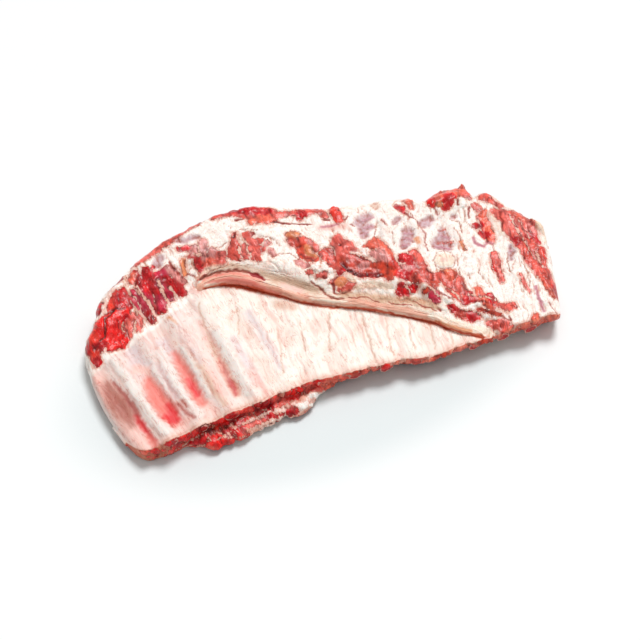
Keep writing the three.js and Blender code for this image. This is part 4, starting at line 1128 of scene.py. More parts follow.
class Value:
    """A number that varies over a surface, with arithmetic that adds its Math nodes."""

    def __init__(self, shader: "Shader", socket: bpy.types.NodeSocket) -> None:
        """Wraps a socket of a shader."""
        self.shader = shader
        self.socket = socket

    def _math(self, operation: str, *values: "Value | float") -> "Value":
        """Adds one Math node and gives its result."""
        sockets = dict(enumerate(values))
        node = self.shader.node("ShaderNodeMath", {"operation": operation}, sockets)
        return Value(self.shader, node.outputs[0])

    def __add__(self, other: "Value | float") -> "Value":
        """Gives self + other."""
        return self._math("ADD", self, other)

    __radd__ = __add__

    def __sub__(self, other: "Value | float") -> "Value":
        """Gives self - other."""
        return self._math("SUBTRACT", self, other)

    def __rsub__(self, other: "Value | float") -> "Value":
        """Gives other - self."""
        return self._math("SUBTRACT", other, self)

    def __mul__(self, other: "Value | float") -> "Value":
        """Gives self * other."""
        return self._math("MULTIPLY", self, other)

    __rmul__ = __mul__

    def distance(self) -> "Value":
        """Gives the number without its sign."""
        return self._math("ABSOLUTE", self)

    def near(self, middle: float, width: float, core: float = 0.0) -> "Value":
        """Is 1 within core of a middle value and 0 beyond width, which draws thin lines in noise."""
        return (self - middle).distance().rise(width, core)

    def rise(self, low: float, high: float) -> "Value":
        """Goes smoothly from 0 at low to 1 at high, or the other way round."""
        settings = {"interpolation_type": "SMOOTHSTEP"}
        ends = (low, high, 0.0, 1.0) if low < high else (high, low, 1.0, 0.0)
        sockets = {"Value": self, **dict(zip(("From Min", "From Max", "To Min", "To Max"), ends))}
        return Value(self.shader, self.shader.node("ShaderNodeMapRange", settings, sockets).outputs[0])


class Blend(Enum):
    """How a colour mixes in: it covers what is under it, or multiplies it."""

    COVER = "MIX"
    MULTIPLY = "MULTIPLY"


class Layer(NamedTuple):
    """A layer of a finish: its colour on a screen, its strength and how it mixes in."""

    colour: Colour
    strength: float
    blend: Blend = Blend.MULTIPLY


class Shader:
    """A material under construction."""

    def __init__(self, name: str) -> None:
        """Starts an empty material."""
        self.material = bpy.data.materials.new(name)
        self.material.use_nodes = True
        self.tree = self.material.node_tree
        self.tree.nodes.clear()

    def node(self, kind: str, settings: dict | None = None, sockets: dict | None = None) -> bpy.types.Node:
        """Adds a node.

        Args:
            kind: The node's type.
            settings: Its properties, which are set first.
            sockets: Values or links of its inputs, by name or number.

        Returns:
            The node.
        """
        node = self.tree.nodes.new(kind)
        for key, value in (settings or {}).items():
            setattr(node, key, value)
        for key, value in (sockets or {}).items():
            source = value.socket if isinstance(value, Value) else value
            if isinstance(source, bpy.types.NodeSocket):
                self.tree.links.new(source, node.inputs[key])
            else:
                node.inputs[key].default_value = source
        return node

    def number(self, attribute: str) -> Value:
        """Reads a number that the mesh keeps."""
        node = self.node("ShaderNodeAttribute", {"attribute_name": attribute})
        return Value(self, node.outputs["Fac"])

    def vector(self, attribute: str) -> bpy.types.NodeSocket:
        """Reads a vector or a colour that the mesh keeps."""
        return self.node("ShaderNodeAttribute", {"attribute_name": attribute}).outputs["Vector"]

    def places(self) -> bpy.types.NodeSocket:
        """Gives the place on the piece."""
        return self.node("ShaderNodeTexCoord").outputs["Object"]

    def scaled(self, vector: bpy.types.NodeSocket, scale: Colour) -> bpy.types.NodeSocket:
        """Stretches a vector along its axes."""
        settings = {"operation": "MULTIPLY"}
        return self.node("ShaderNodeVectorMath", settings, {0: vector, 1: scale}).outputs[0]

    def noise(self, vector: bpy.types.NodeSocket, scale: float, detail: float = 2.0) -> Value:
        """Gives smooth noise from 0 to 1."""
        sockets = {"Vector": vector, "Scale": scale, "Detail": detail}
        return Value(self, self.node("ShaderNodeTexNoise", {}, sockets).outputs["Fac"])

    def mixed(self, share: Value, a: object, b: object, blend: Blend = Blend.COVER) -> bpy.types.NodeSocket:
        """Mixes two colours, each a socket or a fixed colour as it shows on a screen."""
        settings = {"data_type": "RGBA", "blend_type": blend.value}
        paints = [(*linear(c), 1.0) if isinstance(c, tuple) else c for c in (a, b)]
        return self.node("ShaderNodeMix", settings, {0: share, 6: paints[0], 7: paints[1]}).outputs[2]

    def layered(self, mask: Value, base: bpy.types.NodeSocket, layer: Layer) -> bpy.types.NodeSocket:
        """Lays a layer on a colour, in full where the mask is 1."""
        return self.mixed(mask * layer.strength, base, layer.colour, layer.blend)

    def finish(self, constants: dict, varying: dict, bump: Value, depth: float) -> bpy.types.Material:
        """Ends the material in one Principled shader.

        Args:
            constants: Its even settings.
            varying: Its inputs that change over the surface.
            bump: The height of the fine relief.
            depth: How much of it shows, in mm.

        Returns:
            The material.
        """
        sockets = {"Strength": 1.0, "Distance": depth * MM, "Height": bump}
        normal = self.node("ShaderNodeBump", {}, sockets).outputs[0]
        surface = self.node("ShaderNodeBsdfPrincipled", {}, {**constants, **varying, "Normal": normal})
        self.node("ShaderNodeOutputMaterial", {}, {"Surface": surface.outputs[0]})
        return self.material


class MeatNoises(NamedTuple):
    """The noises in meat: five in space, and three drawn out along the grain."""

    fine: Value
    speckle: Value
    cloud: Value
    wander: Value
    crack: Value
    fibre: Value
    strand: Value
    silk: Value

    @classmethod
    def of(cls, s: Shader) -> "MeatNoises":
        """Makes the noises, in space by scale and detail, and along the grain by its scales."""
        place, grain = s.places(), s.vector("grain")
        space = ((620.0, 3.0), (1500.0, 2.0), (95.0, 3.0), (190.0, 2.0), (120.0, 3.0))
        drawn = ((0.11, 0.75, 0.60), (0.07, 0.36, 0.36), (0.02, 0.20, 0.20))
        return cls(*(s.noise(place, scale, detail) for scale, detail in space),
                   *(s.noise(s.scaled(grain, scales), 1.0) for scales in drawn))


@dataclass(frozen=True)
class MeatFinish:
    """Raw meat and fat: lean with fibres and marbling, over creamy fat with fine veins."""

    name: str
    light_fibres: Layer = Layer((1.0, 0.93, 0.90), 0.6)
    dark_fibres: Layer = Layer((0.60, 0.36, 0.36), 0.5)
    blood: Layer = Layer((0.70, 0.46, 0.44), 0.34)
    marbling: Layer = Layer((0.93, 0.72, 0.66), 0.22, Blend.COVER)
    sinew: Layer = Layer((0.52, 0.26, 0.26), 0.55)
    film: Layer = Layer((0.91, 0.62, 0.58), 0.2, Blend.COVER)
    blotches: Layer = Layer((0.97, 0.885, 0.85), 0.4)
    veins: Layer = Layer((0.80, 0.44, 0.36), 0.5)
    web: Layer = Layer((0.84, 0.60, 0.50), 0.45)
    # Thin dark lines of painted shade in the fat's fine creases
    crack_shade: Layer = Layer((0.84, 0.60, 0.50), 0.4)
    silk: Layer = Layer((0.95, 0.865, 0.855), 0.7)
    rim: Layer = Layer((0.90, 0.58, 0.47), 0.55)
    outline: Layer = Layer((0.62, 0.30, 0.22), 0.75)
    # Painted shade colours for creases and undersides
    lean_shade: Colour = (0.42, 0.10, 0.08)
    fat_shade: Colour = (0.80, 0.48, 0.35)
    fine_fray: float = 2.6
    fibre_fray: float = 3.2
    strand_fray: float = 3.4
    # How strongly the painted shade shows at most
    painted_shade_strength: float = 0.85
    lean_roughness: float = 0.33
    fat_roughness: float = 0.44
    lean_coat: float = 0.1
    relief_depth: float = 0.9

    def lean_colour(self, s: Shader, n: MeatNoises, edge: Value) -> bpy.types.NodeSocket:
        """Gives the lean its fibres, darker patches, marbling, sinew, and film near its edge.

        Args:
            s: The material under construction.
            n: Its noises.
            edge: The distance inside the lean's edge, in mm.

        Returns:
            The colour.
        """
        red = s.layered(n.fibre.rise(0.35, 0.75), s.vector("tint"), self.light_fibres)
        red = s.layered(n.fibre.rise(0.5, 0.3), red, self.dark_fibres)
        red = s.layered(n.wander.rise(0.48, 0.66), red, self.blood)
        red = s.layered(n.strand.near(0.5, 0.022) * n.speckle.rise(0.42, 0.6), red, self.marbling)
        red = s.layered(n.strand.near(0.44, 0.022) * n.cloud.rise(0.42, 0.54), red, self.sinew)
        return s.layered(edge.rise(3.4, 0.2) * n.strand.rise(0.47, 0.60), red, self.film)

    def fat_colour(self, s: Shader, n: MeatNoises, meat: Value, web: Value) -> bpy.types.NodeSocket:
        """Gives the fat its blotches, veins, web and painted shade in fine cracks, and bare membrane its
        silk.

        Args:
            s: The material under construction.
            n: Its noises.
            meat: 1 on trimmed meat and fat, 0 on bare membrane.
            web: The lines of the web.

        Returns:
            The colour.
        """
        pale = s.layered(n.cloud.rise(0.5, 0.7), s.vector("ground"), self.blotches)
        pale = s.layered(n.strand.near(0.5, 0.028) * n.cloud.rise(0.40, 0.58), pale, self.veins)
        pale = s.layered(web * meat, pale, self.web)
        # Painted shade: thin dark lines in the fat's fine creases
        pale = s.layered(n.crack.near(0.5, 0.010) * n.strand.rise(0.42, 0.55) * meat, pale, self.crack_shade)
        return s.layered(n.silk.rise(0.50, 0.68) * (1.0 - meat), pale, self.silk)

    def material(self) -> bpy.types.Material:
        """Builds the material.

        The lean's edge is where its distance field, frayed by noise, passes 0, with a soft rim and a
        broken dark outline along it. Marbling, sinew, veins and web are thin lines where a noise is near
        one value, and so are the thin lines of painted shade in the fat's fine cracks. Painted shade also
        darkens creases and undersides towards the shade colours, and the lean has a thin coat.
        """
        s = Shader(self.name)
        n = MeatNoises.of(s)
        edge = s.number("lean") + self.fine_fray * (n.fine - 0.5)
        edge = edge + self.fibre_fray * (n.fibre - 0.5) + self.strand_fray * (n.strand - 0.5)
        lean = edge.rise(-0.3, 0.3)
        meat = s.number("meat")
        web = n.wander.near(0.5, 0.020) * n.cloud.rise(0.56, 0.42)

        colour = s.mixed(lean, self.fat_colour(s, n, meat, web), self.lean_colour(s, n, edge))
        colour = s.layered(edge.near(-0.9, 1.6, 0.2), colour, self.rim)
        colour = s.layered(edge.near(0.1, 0.5, 0.1) * n.cloud.rise(0.46, 0.56), colour, self.outline)
        # Painted shade: the colour is multiplied towards the shade colours in creases and on undersides
        shade = s.mixed(lean, self.fat_shade, self.lean_shade)
        colour = s.mixed(s.number("painted_shade") * self.painted_shade_strength, colour, shade, Blend.MULTIPLY)

        drier = lean * (self.fat_roughness - self.lean_roughness)
        rough = self.fat_roughness - drier + 0.12 * (n.fine - 0.5)
        grit = (n.fine * 0.5 + n.speckle * 0.2) * (0.2 + 0.8 * meat) * (1.0 - lean * 0.75)
        relief = lean * (n.fibre * 0.3 - 0.2) + grit + n.strand * (0.6 - lean * 0.25) + web * meat * -0.12
        constants = {
            "Subsurface Weight": 0.1, "Subsurface Radius": (0.9, 0.35, 0.25), "Subsurface Scale": 0.002,
            "Specular IOR Level": 0.30, "Coat Roughness": 0.16,
        }
        varying = {"Base Color": colour, "Roughness": rough, "Coat Weight": lean * self.lean_coat}
        return s.finish(constants, varying, relief, self.relief_depth)


@dataclass(frozen=True)
class BoneFinish:
    """A sawn rib: spongy red marrow in a thin pale rim, which runs on along the bone."""

    name: str
    marrow: Colour = (0.78, 0.09, 0.09)
    pore: Colour = (0.52, 0.03, 0.05)
    flecks: Layer = Layer((0.86, 0.22, 0.20), 0.5, Blend.COVER)
    rim: Colour = (0.92, 0.66, 0.60)
    relief_depth: float = 0.8

    def material(self) -> bpy.types.Material:
        """Builds the material. The rim is where the mesh's ring number is near 1."""
        s = Shader(self.name)
        place = s.places()
        sponge = s.noise(place, 900.0, 3.0)
        cloud = s.noise(place, 260.0, 2.0)
        rim = (s.number("ring") + 0.35 * (cloud - 0.5)).rise(0.80, 0.92)
        colour = s.mixed(sponge.rise(0.55, 0.35), self.marrow, self.pore)
        colour = s.layered(cloud.rise(0.5, 0.7), colour, self.flecks)
        colour = s.mixed(rim, colour, self.rim)
        constants = {
            "Subsurface Weight": 0.08, "Subsurface Radius": (0.9, 0.3, 0.2), "Subsurface Scale": 0.002,
            "Coat Weight": 0.15, "Coat Roughness": 0.2,
        }
        varying = {"Base Color": colour, "Roughness": 0.34 + 0.25 * (sponge - 0.5)}
        return s.finish(constants, varying, sponge, self.relief_depth)


@dataclass(frozen=True)
class SlabColours:
    """The slab's colours under its strokes, as they show on a screen."""

    fat: Colour = (0.99, 0.968, 0.94)
    membrane: Colour = (0.978, 0.943, 0.905)
    left_membrane: Colour = (0.935, 0.865, 0.84)
    between_ribs: Colour = (0.94, 0.82, 0.77)
    sawn_rim: Colour = (0.95, 0.82, 0.76)
    face: Colour = (0.98, 0.24, 0.19)
    right_face: Colour = (0.93, 0.51, 0.41)
    dark_face: Colour = (0.68, 0.04, 0.05)
    pink_face: Colour = (0.92, 0.60, 0.50)
    face_fat: Colour = (0.97, 0.82, 0.75)
    left_face_fat: Colour = (0.86, 0.58, 0.48)
    hidden: Colour = (0.80, 0.36, 0.31)
    dark_hidden: Colour = (0.68, 0.18, 0.17)
    hidden_fat: Colour = (0.965, 0.92, 0.875)


@dataclass
class MeatSlab:
    """The rack's body of meat, fat and membrane."""

    colours: SlabColours = SlabColours()
    stations: int = 395
    top_rows: int = 176
    front_rows: int = 22
    under_rows: int = 12
    end_loops: int = 5
    back_margin: float = 13.5
    front_margin: float = 1.6
    sag: float = 4.5
    sag_at: float = 66.0
    sag_width: float = 17.0
    tuck: float = 6.5
    under_start: float = 8.0
    end_reach: float = 1.5
    rib_swell: float = 1.6
    notch_width: float = 7.0
    notch_depth: float = 1.1
    nick_width: float = 2.6
    nick_depth: float = 0.7
    chunk_width: float = 10.0
    chunk_height: float = 2.4
    crease_depth: float = 0.85
    crease_steps: int = 12

    def sawn_edge(self, q: Array) -> Array:
        """Gives the y of the sawn edge, which stands out at ribs, sags on the right and is ragged."""
        place = np.stack([q, 0.0 * q + 7.0, 0.0 * q], axis=-1)
        notches = self.notch_depth * NOISE.field(place, self.notch_width)
        nicks = self.nick_depth * NOISE.field(place + 50.0, self.nick_width)
        sag = self.sag * np.exp(-(((q - self.sag_at) / self.sag_width) ** 2))
        return PLAN.front(q) - self.rib_swell * (PLAN.wave(q) - 0.5) - (notches + nicks) - sag

    def station_lines(self) -> Array:
        """Gives the loops' rib lines: even, but closer together at the two ends."""
        k = np.linspace(0.0, 1.0, self.stations)
        eased = k - 0.012 * np.sin(2.0 * np.pi * k)
        return mix(PLAN.outline[0][0], PLAN.outline[-1][0], eased)

    def front_face(self, q: Array) -> Array:
        """Gives the front face from the underside up.

        Seven rows of reach and height are spread to front_rows by a smooth curve through them.
        On the right the lower rows draw back under the edge.

        Args:
            q: The rib lines, (n, 1).

        Returns:
            Reach and height, (n, front_rows, 2).
        """
        y = PLAN.front(q)
        low, high = PLAN.under_z(q, y), PLAN.top_z(q, y)
        share = PLAN.trimmings_share(q)
        ragged = 1.0 + 0.35 * NOISE.field(np.concatenate([q, 0 * q + 3, 0 * q], axis=-1), 12.0)[..., None]
        out = PLAN.trimmings_reach * share * ragged
        ledge = mix(low, high, 0.45 + 0.07 * share)
        tier = np.minimum(ledge - 0.1 * (ledge - low), PLAN.trimmings_height)
        tuck = self.tuck * smoothstep(-40.0, 15.0, q)
        reach = (0.7 * out - tuck, out + 0.6 - 0.85 * tuck, out - 0.55 * tuck, 0.55 * out - 0.45 * tuck,
                 0.3 - 0.3 * tuck, 0 * out + 0.8, 0 * out + 0.2)
        height = (low, mix(low, tier, 0.35), mix(low, tier, 0.8), tier, ledge,
                  mix(ledge, high, 0.5), mix(ledge, high, 0.88))
        rows = np.stack([np.concatenate(reach, axis=1), np.concatenate(height, axis=1)], axis=-1)
        return curve_through(rows, self.front_rows)

    def skin(self) -> Array:
        """Gives the slab's smooth skin: loops up the front face, over the top and back under."""
        q = self.station_lines()[:, None]
        front = self.sawn_edge(q)
        width = PLAN.back(q) - front
        face = self.front_face(q)
        face_y = front - face[..., 0]
        back_steps = self.back_margin * np.linspace(1.0, 0.0, 16)[1:] ** 1.7
        even = np.linspace(0.0, 1.0, self.top_rows)[None]
        top_y = np.concatenate([
            mix(front + self.front_margin, front + width - self.back_margin, even),
            front + width - back_steps[None]], axis=1)
        low_even = np.linspace(0.0, 1.0, self.under_rows)[None]
        under_y = np.concatenate([
            front + width - back_steps[None, -2:0:-1],
            mix(front + width - self.back_margin, front + self.under_start + self.tuck, low_even)], axis=1)
        rows = [
            (face_y, face[..., 1]),
            (top_y, PLAN.top_z(q, top_y)),
            (under_y, PLAN.under_z(q, under_y)),
        ]
        parts = [np.stack([PLAN.fan_x(q, y), y, z], axis=-1) for y, z in rows]
        return self.close_ends(np.concatenate(parts, axis=1))

    def close_ends(self, p: Array) -> Array:
        """Adds loops at both ends that come together on the edge's own height.

        Loop k is squeezed in height by the cosine of its angle, and stands out by its sine.

        Args:
            p: The skin's loops, (rows, columns, 3).

        Returns:
            The loops with end_loops more at either end.
        """
        angles = np.linspace(0.0, 0.46 * np.pi, self.end_loops + 1)[1:]
        ends = []
        for row, way in ((0, -1.0), (-1, 1.0)):
            loop = np.repeat(p[row][None], len(angles), axis=0)
            edge = PLAN.rim_height(np.full(p.shape[1], PLAN.outline[row][0]), p[row][:, 1])
            loop[..., 2] = edge + (loop[..., 2] - edge) * np.cos(angles)[:, None]
            loop[..., 0] += way * self.end_reach * np.sin(angles)[:, None]
            ends.append(loop)
        return np.concatenate([ends[0][::-1], p, ends[1]])

    def paint(self, p: Array, normals: Array) -> Paint:
        """Lays the tissues on the skin: membrane, strokes, the sawn face and the hidden sides.

        Args:
            p: The skin's points.
            normals: Its outward directions.

        Returns:
            The tissue at each point.
        """
        c = self.colours
        q, behind = PLAN.fan_q(p[..., 0], p[..., 1]), PLAN.behind(p[..., 0], p[..., 1])
        paint = Paint(p, c.fat)
        rib_side = 1.0 - smoothstep(-3.0, 1.0, behind)
        left_end = 1.0 - smoothstep(-115.0, -80.0, q)
        bare = mix_colour(np.broadcast_to(c.membrane, p.shape), c.left_membrane, left_end)
        paint.ground = mix_colour(paint.ground, bare, rib_side)
        bands = 0.6 * rib_side * (1.0 - PLAN.wave(q)) * smoothstep(-0.5, 0.6, NOISE.layers(p, 30.0, 2))
        paint.ground = mix_colour(paint.ground, c.between_ribs, bands)
        sawn = rib_side * (1.0 - smoothstep(2.0, 9.0, p[..., 1] - self.sawn_edge(q)))
        paint.ground = mix_colour(paint.ground, c.sawn_rim, 0.6 * sawn)
        paint.add(RIB_SIDE, rib_side)
        for strokes in (LEFT_MEAT, BACK_MEAT, MIDDLE_MEAT, RIGHT_MEAT):
            paint.add(strokes, smoothstep(-5.0, -1.0, behind))
        paint.add(SKIRT, smoothstep(3.0, 8.0, behind) * smoothstep(-100.0, -88.0, p[..., 0]))
        paint.add((Stroke(T.SHADOW, LIP_SHADOW),))
        self.paint_front(paint, p, q)
        paint.add(FRONT_FACE, self.face_share(p, q))
        self.paint_hidden(paint, p, normals)
        paint.mottle()
        return paint

    def face_share(self, p: Array, q: Array) -> Array:
        """Is 1 on the sawn front face, also where it draws back below, and 0 on the upper side."""
        inward = p[..., 1] - self.sawn_edge(q)
        low = 1.0 - smoothstep(0.66, 0.8, p[..., 2] / PLAN.top_z(q, p[..., 1]))
        return np.maximum(1.0 - smoothstep(0.2, 1.6, inward), low * (inward < 2.0 * self.tuck))

    def paint_front(self, paint: Paint, p: Array, q: Array) -> None:
        """Makes the sawn face ragged red meat, paler towards the right, between fat.

        Args:
            paint: The slab's tissues, which change.
            p: The skin's points.
            q: Their rib lines.
        """
        c = self.colours
        face = self.face_share(p, q)
        cells, fine = 9.0 * np.abs(NOISE.field(p + 11.0, self.chunk_width)), NOISE.field(p, 3.2)
        paler = smoothstep(-60.0, 60.0, q)
        lean = np.minimum(cells, 3.0) - mix(0.8, 0.9, paler) + mix(0.5, 1.3, paler) * fine
        red = mix_colour(np.broadcast_to(c.face, p.shape), c.right_face, paler)
        darker = (0.75 - 0.5 * paler) * smoothstep(0.0, 0.4, NOISE.field(p + 77.0, 11.0))
        red = mix_colour(red, c.dark_face, darker)
        pinker = smoothstep(0.0, 0.6, NOISE.field(p + 5.0, 5.0)) * (0.45 + 0.4 * paler)
        red = mix_colour(red, c.pink_face, pinker)
        left = 1.0 - smoothstep(-182.0, -168.0, q)
        pale = mix_colour(np.broadcast_to(c.face_fat, p.shape), c.left_face_fat, left)
        shelf = smoothstep(3.0, 8.0, self.sawn_edge(q) - p[..., 1]) * smoothstep(-132.0, -105.0, q)
        streaks = 3.0 * NOISE.field(p * np.array([0.25, 1.0, 1.0]) + 60.0, 3.2)
        paint.lean = mix(paint.lean, mix(lean - 2.2 * left, streaks - 0.8, shelf), face)
        paint.tint = mix_colour(paint.tint, red, face)
        paint.ground = mix_colour(paint.ground, pale, face)

    def paint_hidden(self, paint: Paint, p: Array, normals: Array) -> None:
        """Gives the sides that the camera can't see lean and fat in long uneven streaks.

        Args:
            paint: The slab's tissues, which change.
            p: The skin's points.
            normals: Its outward directions.
        """
        c = self.colours
        away = 1.0 - smoothstep(-0.2, 0.12, normals @ view_axes()[2])
        streaks = NOISE.layers(p * np.array([0.45, 0.45, 1.0]), 11.0, 3)
        darker = smoothstep(-0.2, 0.6, NOISE.field(p + 9.0, 24.0))
        tint = mix_colour(np.broadcast_to(c.hidden, p.shape), c.dark_hidden, darker)
        paint.lean = mix(paint.lean, 6.0 * streaks - 0.6, away)
        paint.tint = mix_colour(paint.tint, tint, away)
        paint.ground = mix_colour(paint.ground, c.hidden_fat, away)

    def meat_share(self, p: Array) -> Array:
        """Is 1 on meat, fat and the sawn face, and 0 on the bare membrane of the rib side."""
        q, behind = PLAN.fan_q(p[..., 0], p[..., 1]), PLAN.behind(p[..., 0], p[..., 1])
        return np.maximum(smoothstep(0.0, 8.0, behind), self.face_share(p, q))

    def ends_share(self, p: Array) -> Array:
        """Is 0 on the closing loops and 1 a dozen loops further in."""
        rows = np.arange(len(p))
        inner = np.minimum(rows, rows[::-1]) - self.end_loops
        return smoothstep(-1.0, 11.0, inner)[:, None]

    def relief(self, p: Array, paint: Paint, meat: Array) -> Array:
        """Gives how far the skin is pushed out in mm, which is nothing where the rack rests."""
        face = self.face_share(p, PLAN.fan_q(p[..., 0], p[..., 1]))
        cells = np.abs(NOISE.field(p + 11.0, self.chunk_width)) * 8.0
        chunks = np.minimum(cells, self.chunk_height) - self.chunk_height / 2.0 + 0.3 * NOISE.field(p, 3.0)
        out = FLESH.out(p, paint, meat) * (1.0 - 0.5 * face) + chunks * face
        return out * smoothstep(0.5, 6.0, p[..., 2]) * self.ends_share(p)

    def build(self) -> bpy.types.Object:
        """Makes the slab's mesh with its fields.

        Painted shade darkens a point where its neighbours stand out further than itself, and on undersides.
        """
        p = self.skin()
        normals = grid_normals(p)
        paint = self.paint(p, normals)
        meat = self.meat_share(p)
        out = self.relief(p, paint, meat)
        face = self.face_share(p, PLAN.fan_q(p[..., 0], p[..., 1]))
        # Painted shade: darker in creases of the relief, less on the sawn face, and on undersides
        painted_shade = creases(out, self.crease_steps, self.crease_depth) * (1.0 - 0.65 * face)
        painted_shade = painted_shade * self.ends_share(p) ** 2 + np.clip(-normals[..., 2] * 0.4, 0.0, 0.3)
        p = p + normals * out[..., None]
        p[..., 2] = np.maximum(p[..., 2], 0.0)
        return make_piece("dressed_slab", p, loop_faces(*p.shape[:2]), paint.fields(painted_shade, meat))

    def dress(self) -> None:
        """Builds the slab and gives it its finish."""
        piece = self.build()
        piece.data.materials.append(MeatFinish("raw_meat_and_fat").material())
        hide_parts("meat_slab")


@dataclass
class SkirtFlap:
    """The sheet of skirt muscle across the ribs, with a rolled lip and a fold behind it."""

    start: float = -93.0
    end: float = 118.0
    reach_left: float = 33.0
    reach_right: float = 21.0
    lip_radius_left: float = 5.2
    lip_radius: float = 3.6
    lip_lift: float = -1.2
    taper: float = 34.0
    taper_left: float = 50.0
    tip: float = 0.06
    sink: float = 3.0
    fold_behind: float = 12.5
    fold_width: float = 4.5
    fold_depth: float = 1.0
    stations: int = 330
    lip_rows: int = 34
    top_rows: int = 56
    under_rows: int = 8
    skin_grit: float = 0.25
    crease_depth: float = 1.3
    crease_steps: int = 10
    lip_fat: Colour = (0.955, 0.895, 0.83)
    rear_fat: Colour = (0.99, 0.955, 0.92)
    under_lip: Colour = (0.84, 0.36, 0.24)
    blotches: Layer = Layer((0.96, 0.80, 0.74), 0.4)

    def surface(self) -> tuple[Array, Array]:
        """Gives the flap's loops: a round lip, a top that comes down behind, an underside.

        Returns:
            The points, and each point's distance behind the lip's front as a share of reach.
        """
        k = np.linspace(0.0, 1.0, self.stations)
        x = mix(self.start, self.end, k - 0.02 * np.sin(2.0 * np.pi * k))[:, None]
        y = along(PLAN.meat_edge, 1, x)
        slope = along(PLAN.meat_edge, 1, x + 0.5) - along(PLAN.meat_edge, 1, x - 0.5)
        back = np.concatenate([-slope, np.ones_like(slope)], axis=1) / np.hypot(slope, 1.0)
        full = np.minimum(PLAN.round_off(x - self.start, self.taper_left),
                          PLAN.round_off(self.end - x, self.taper))
        size = mix(self.tip, 1.0, full)
        radius = size * mix(self.lip_radius_left, self.lip_radius, smoothstep(-55.0, -10.0, x))
        reach = size * mix(self.reach_left, self.reach_right, smoothstep(-60.0, 90.0, x))
        folded = size * self.fold_depth * (1.0 - smoothstep(-5.0, 45.0, x))

        def rack_z(m: Array) -> Array:
            """Gives the rack's height at a distance m behind the lip's front."""
            return PLAN.upper(x + back[:, :1] * m, y + back[:, 1:] * m)

        angles = np.radians(np.linspace(-60.0, -280.0, self.lip_rows))[None]
        lip_m = radius * (1.0 + np.cos(angles))
        lift = mix(-4.0, self.lip_lift, full)
        lip_z = rack_z(0.0 * x) + lift + radius * (1.0 + np.sin(angles))
        share = np.linspace(0.02, 1.08, self.top_rows)[None] ** 1.1
        top_m = mix(radius, reach, share)
        groove = folded * np.exp(-(((top_m - self.fold_behind) / self.fold_width) ** 2))
        top_z = rack_z(top_m) + (lift + 2.0 * radius) * (1.0 - share**2) - groove
        under_m = mix(radius, reach, np.linspace(1.08, 0.25, self.under_rows)[None])
        under_z = rack_z(under_m) - self.sink
        m = np.concatenate([lip_m, top_m, under_m], axis=1)
        z = np.concatenate([lip_z, top_z, under_z], axis=1)
        return np.stack([x + back[:, :1] * m, y + back[:, 1:] * m, z], axis=-1), m / reach

    def build(self) -> bpy.types.Object:
        """Makes the flap's mesh with its fields. Behind the fold it takes up the slab's tissues."""
        p, share = self.surface()
        normals = grid_normals(p)
        x = p[..., 0]
        paint = Paint(p, self.lip_fat)
        early = 0.2 * smoothstep(-15.0, 30.0, x)
        rear = smoothstep(0.38, 0.62, share + early) * smoothstep(-100.0, -86.0, x)
        white = np.maximum(smoothstep(0.3, 0.6, share), smoothstep(80.0, 100.0, x))
        paint.ground = mix_colour(paint.ground, self.rear_fat, white)
        for strokes in (LEFT_MEAT, BACK_MEAT, MIDDLE_MEAT):
            paint.add(strokes, rear)
        under = smoothstep(0.35, 0.9, -normals[..., 2])
        paint.add(SKIRT)
        for field in (paint.ground, paint.tint):
            field[:] = mix_colour(field, self.under_lip, 0.8 * under)
        muscle = smoothstep(-95.0, -80.0, x) * (1.0 - smoothstep(-30.0, 60.0, x))
        lengthways = np.stack([x * 0.12, share * 26.0, 0.0 * share], axis=-1)
        wrinkles = NOISE.field(lengthways, 1.0)
        paint.grain = mix(np.stack([x, share * 32.0, 0.0 * share], axis=-1), paint.grain, rear[..., None])
        crumple = 0.9 * NOISE.layers(p + 200.0, 6.0, 2) * rear * smoothstep(0.0, 30.0, x)
        out = FLESH.out(p, paint, rear) + mix(0.35, 0.2, muscle) * wrinkles * (1.0 - rear) + crumple
        # Painted shade in the flap's creases, weaker on the lip than behind it
        painted_shade = creases(out, self.crease_steps, self.crease_depth) * (0.4 + 0.6 * rear)
        p = p + normals * out[..., None]
        meat = mix(self.skin_grit, 1.0, rear)
        return make_piece("skirt_sheet", p, loop_faces(*p.shape[:2]), paint.fields(painted_shade, meat))

    def dress(self) -> None:
        """Builds the flap and gives it its finish."""
        piece = self.build()
        piece.data.materials.append(MeatFinish("skirt_muscle", blotches=self.blotches).material())
        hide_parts("skirt_flap")


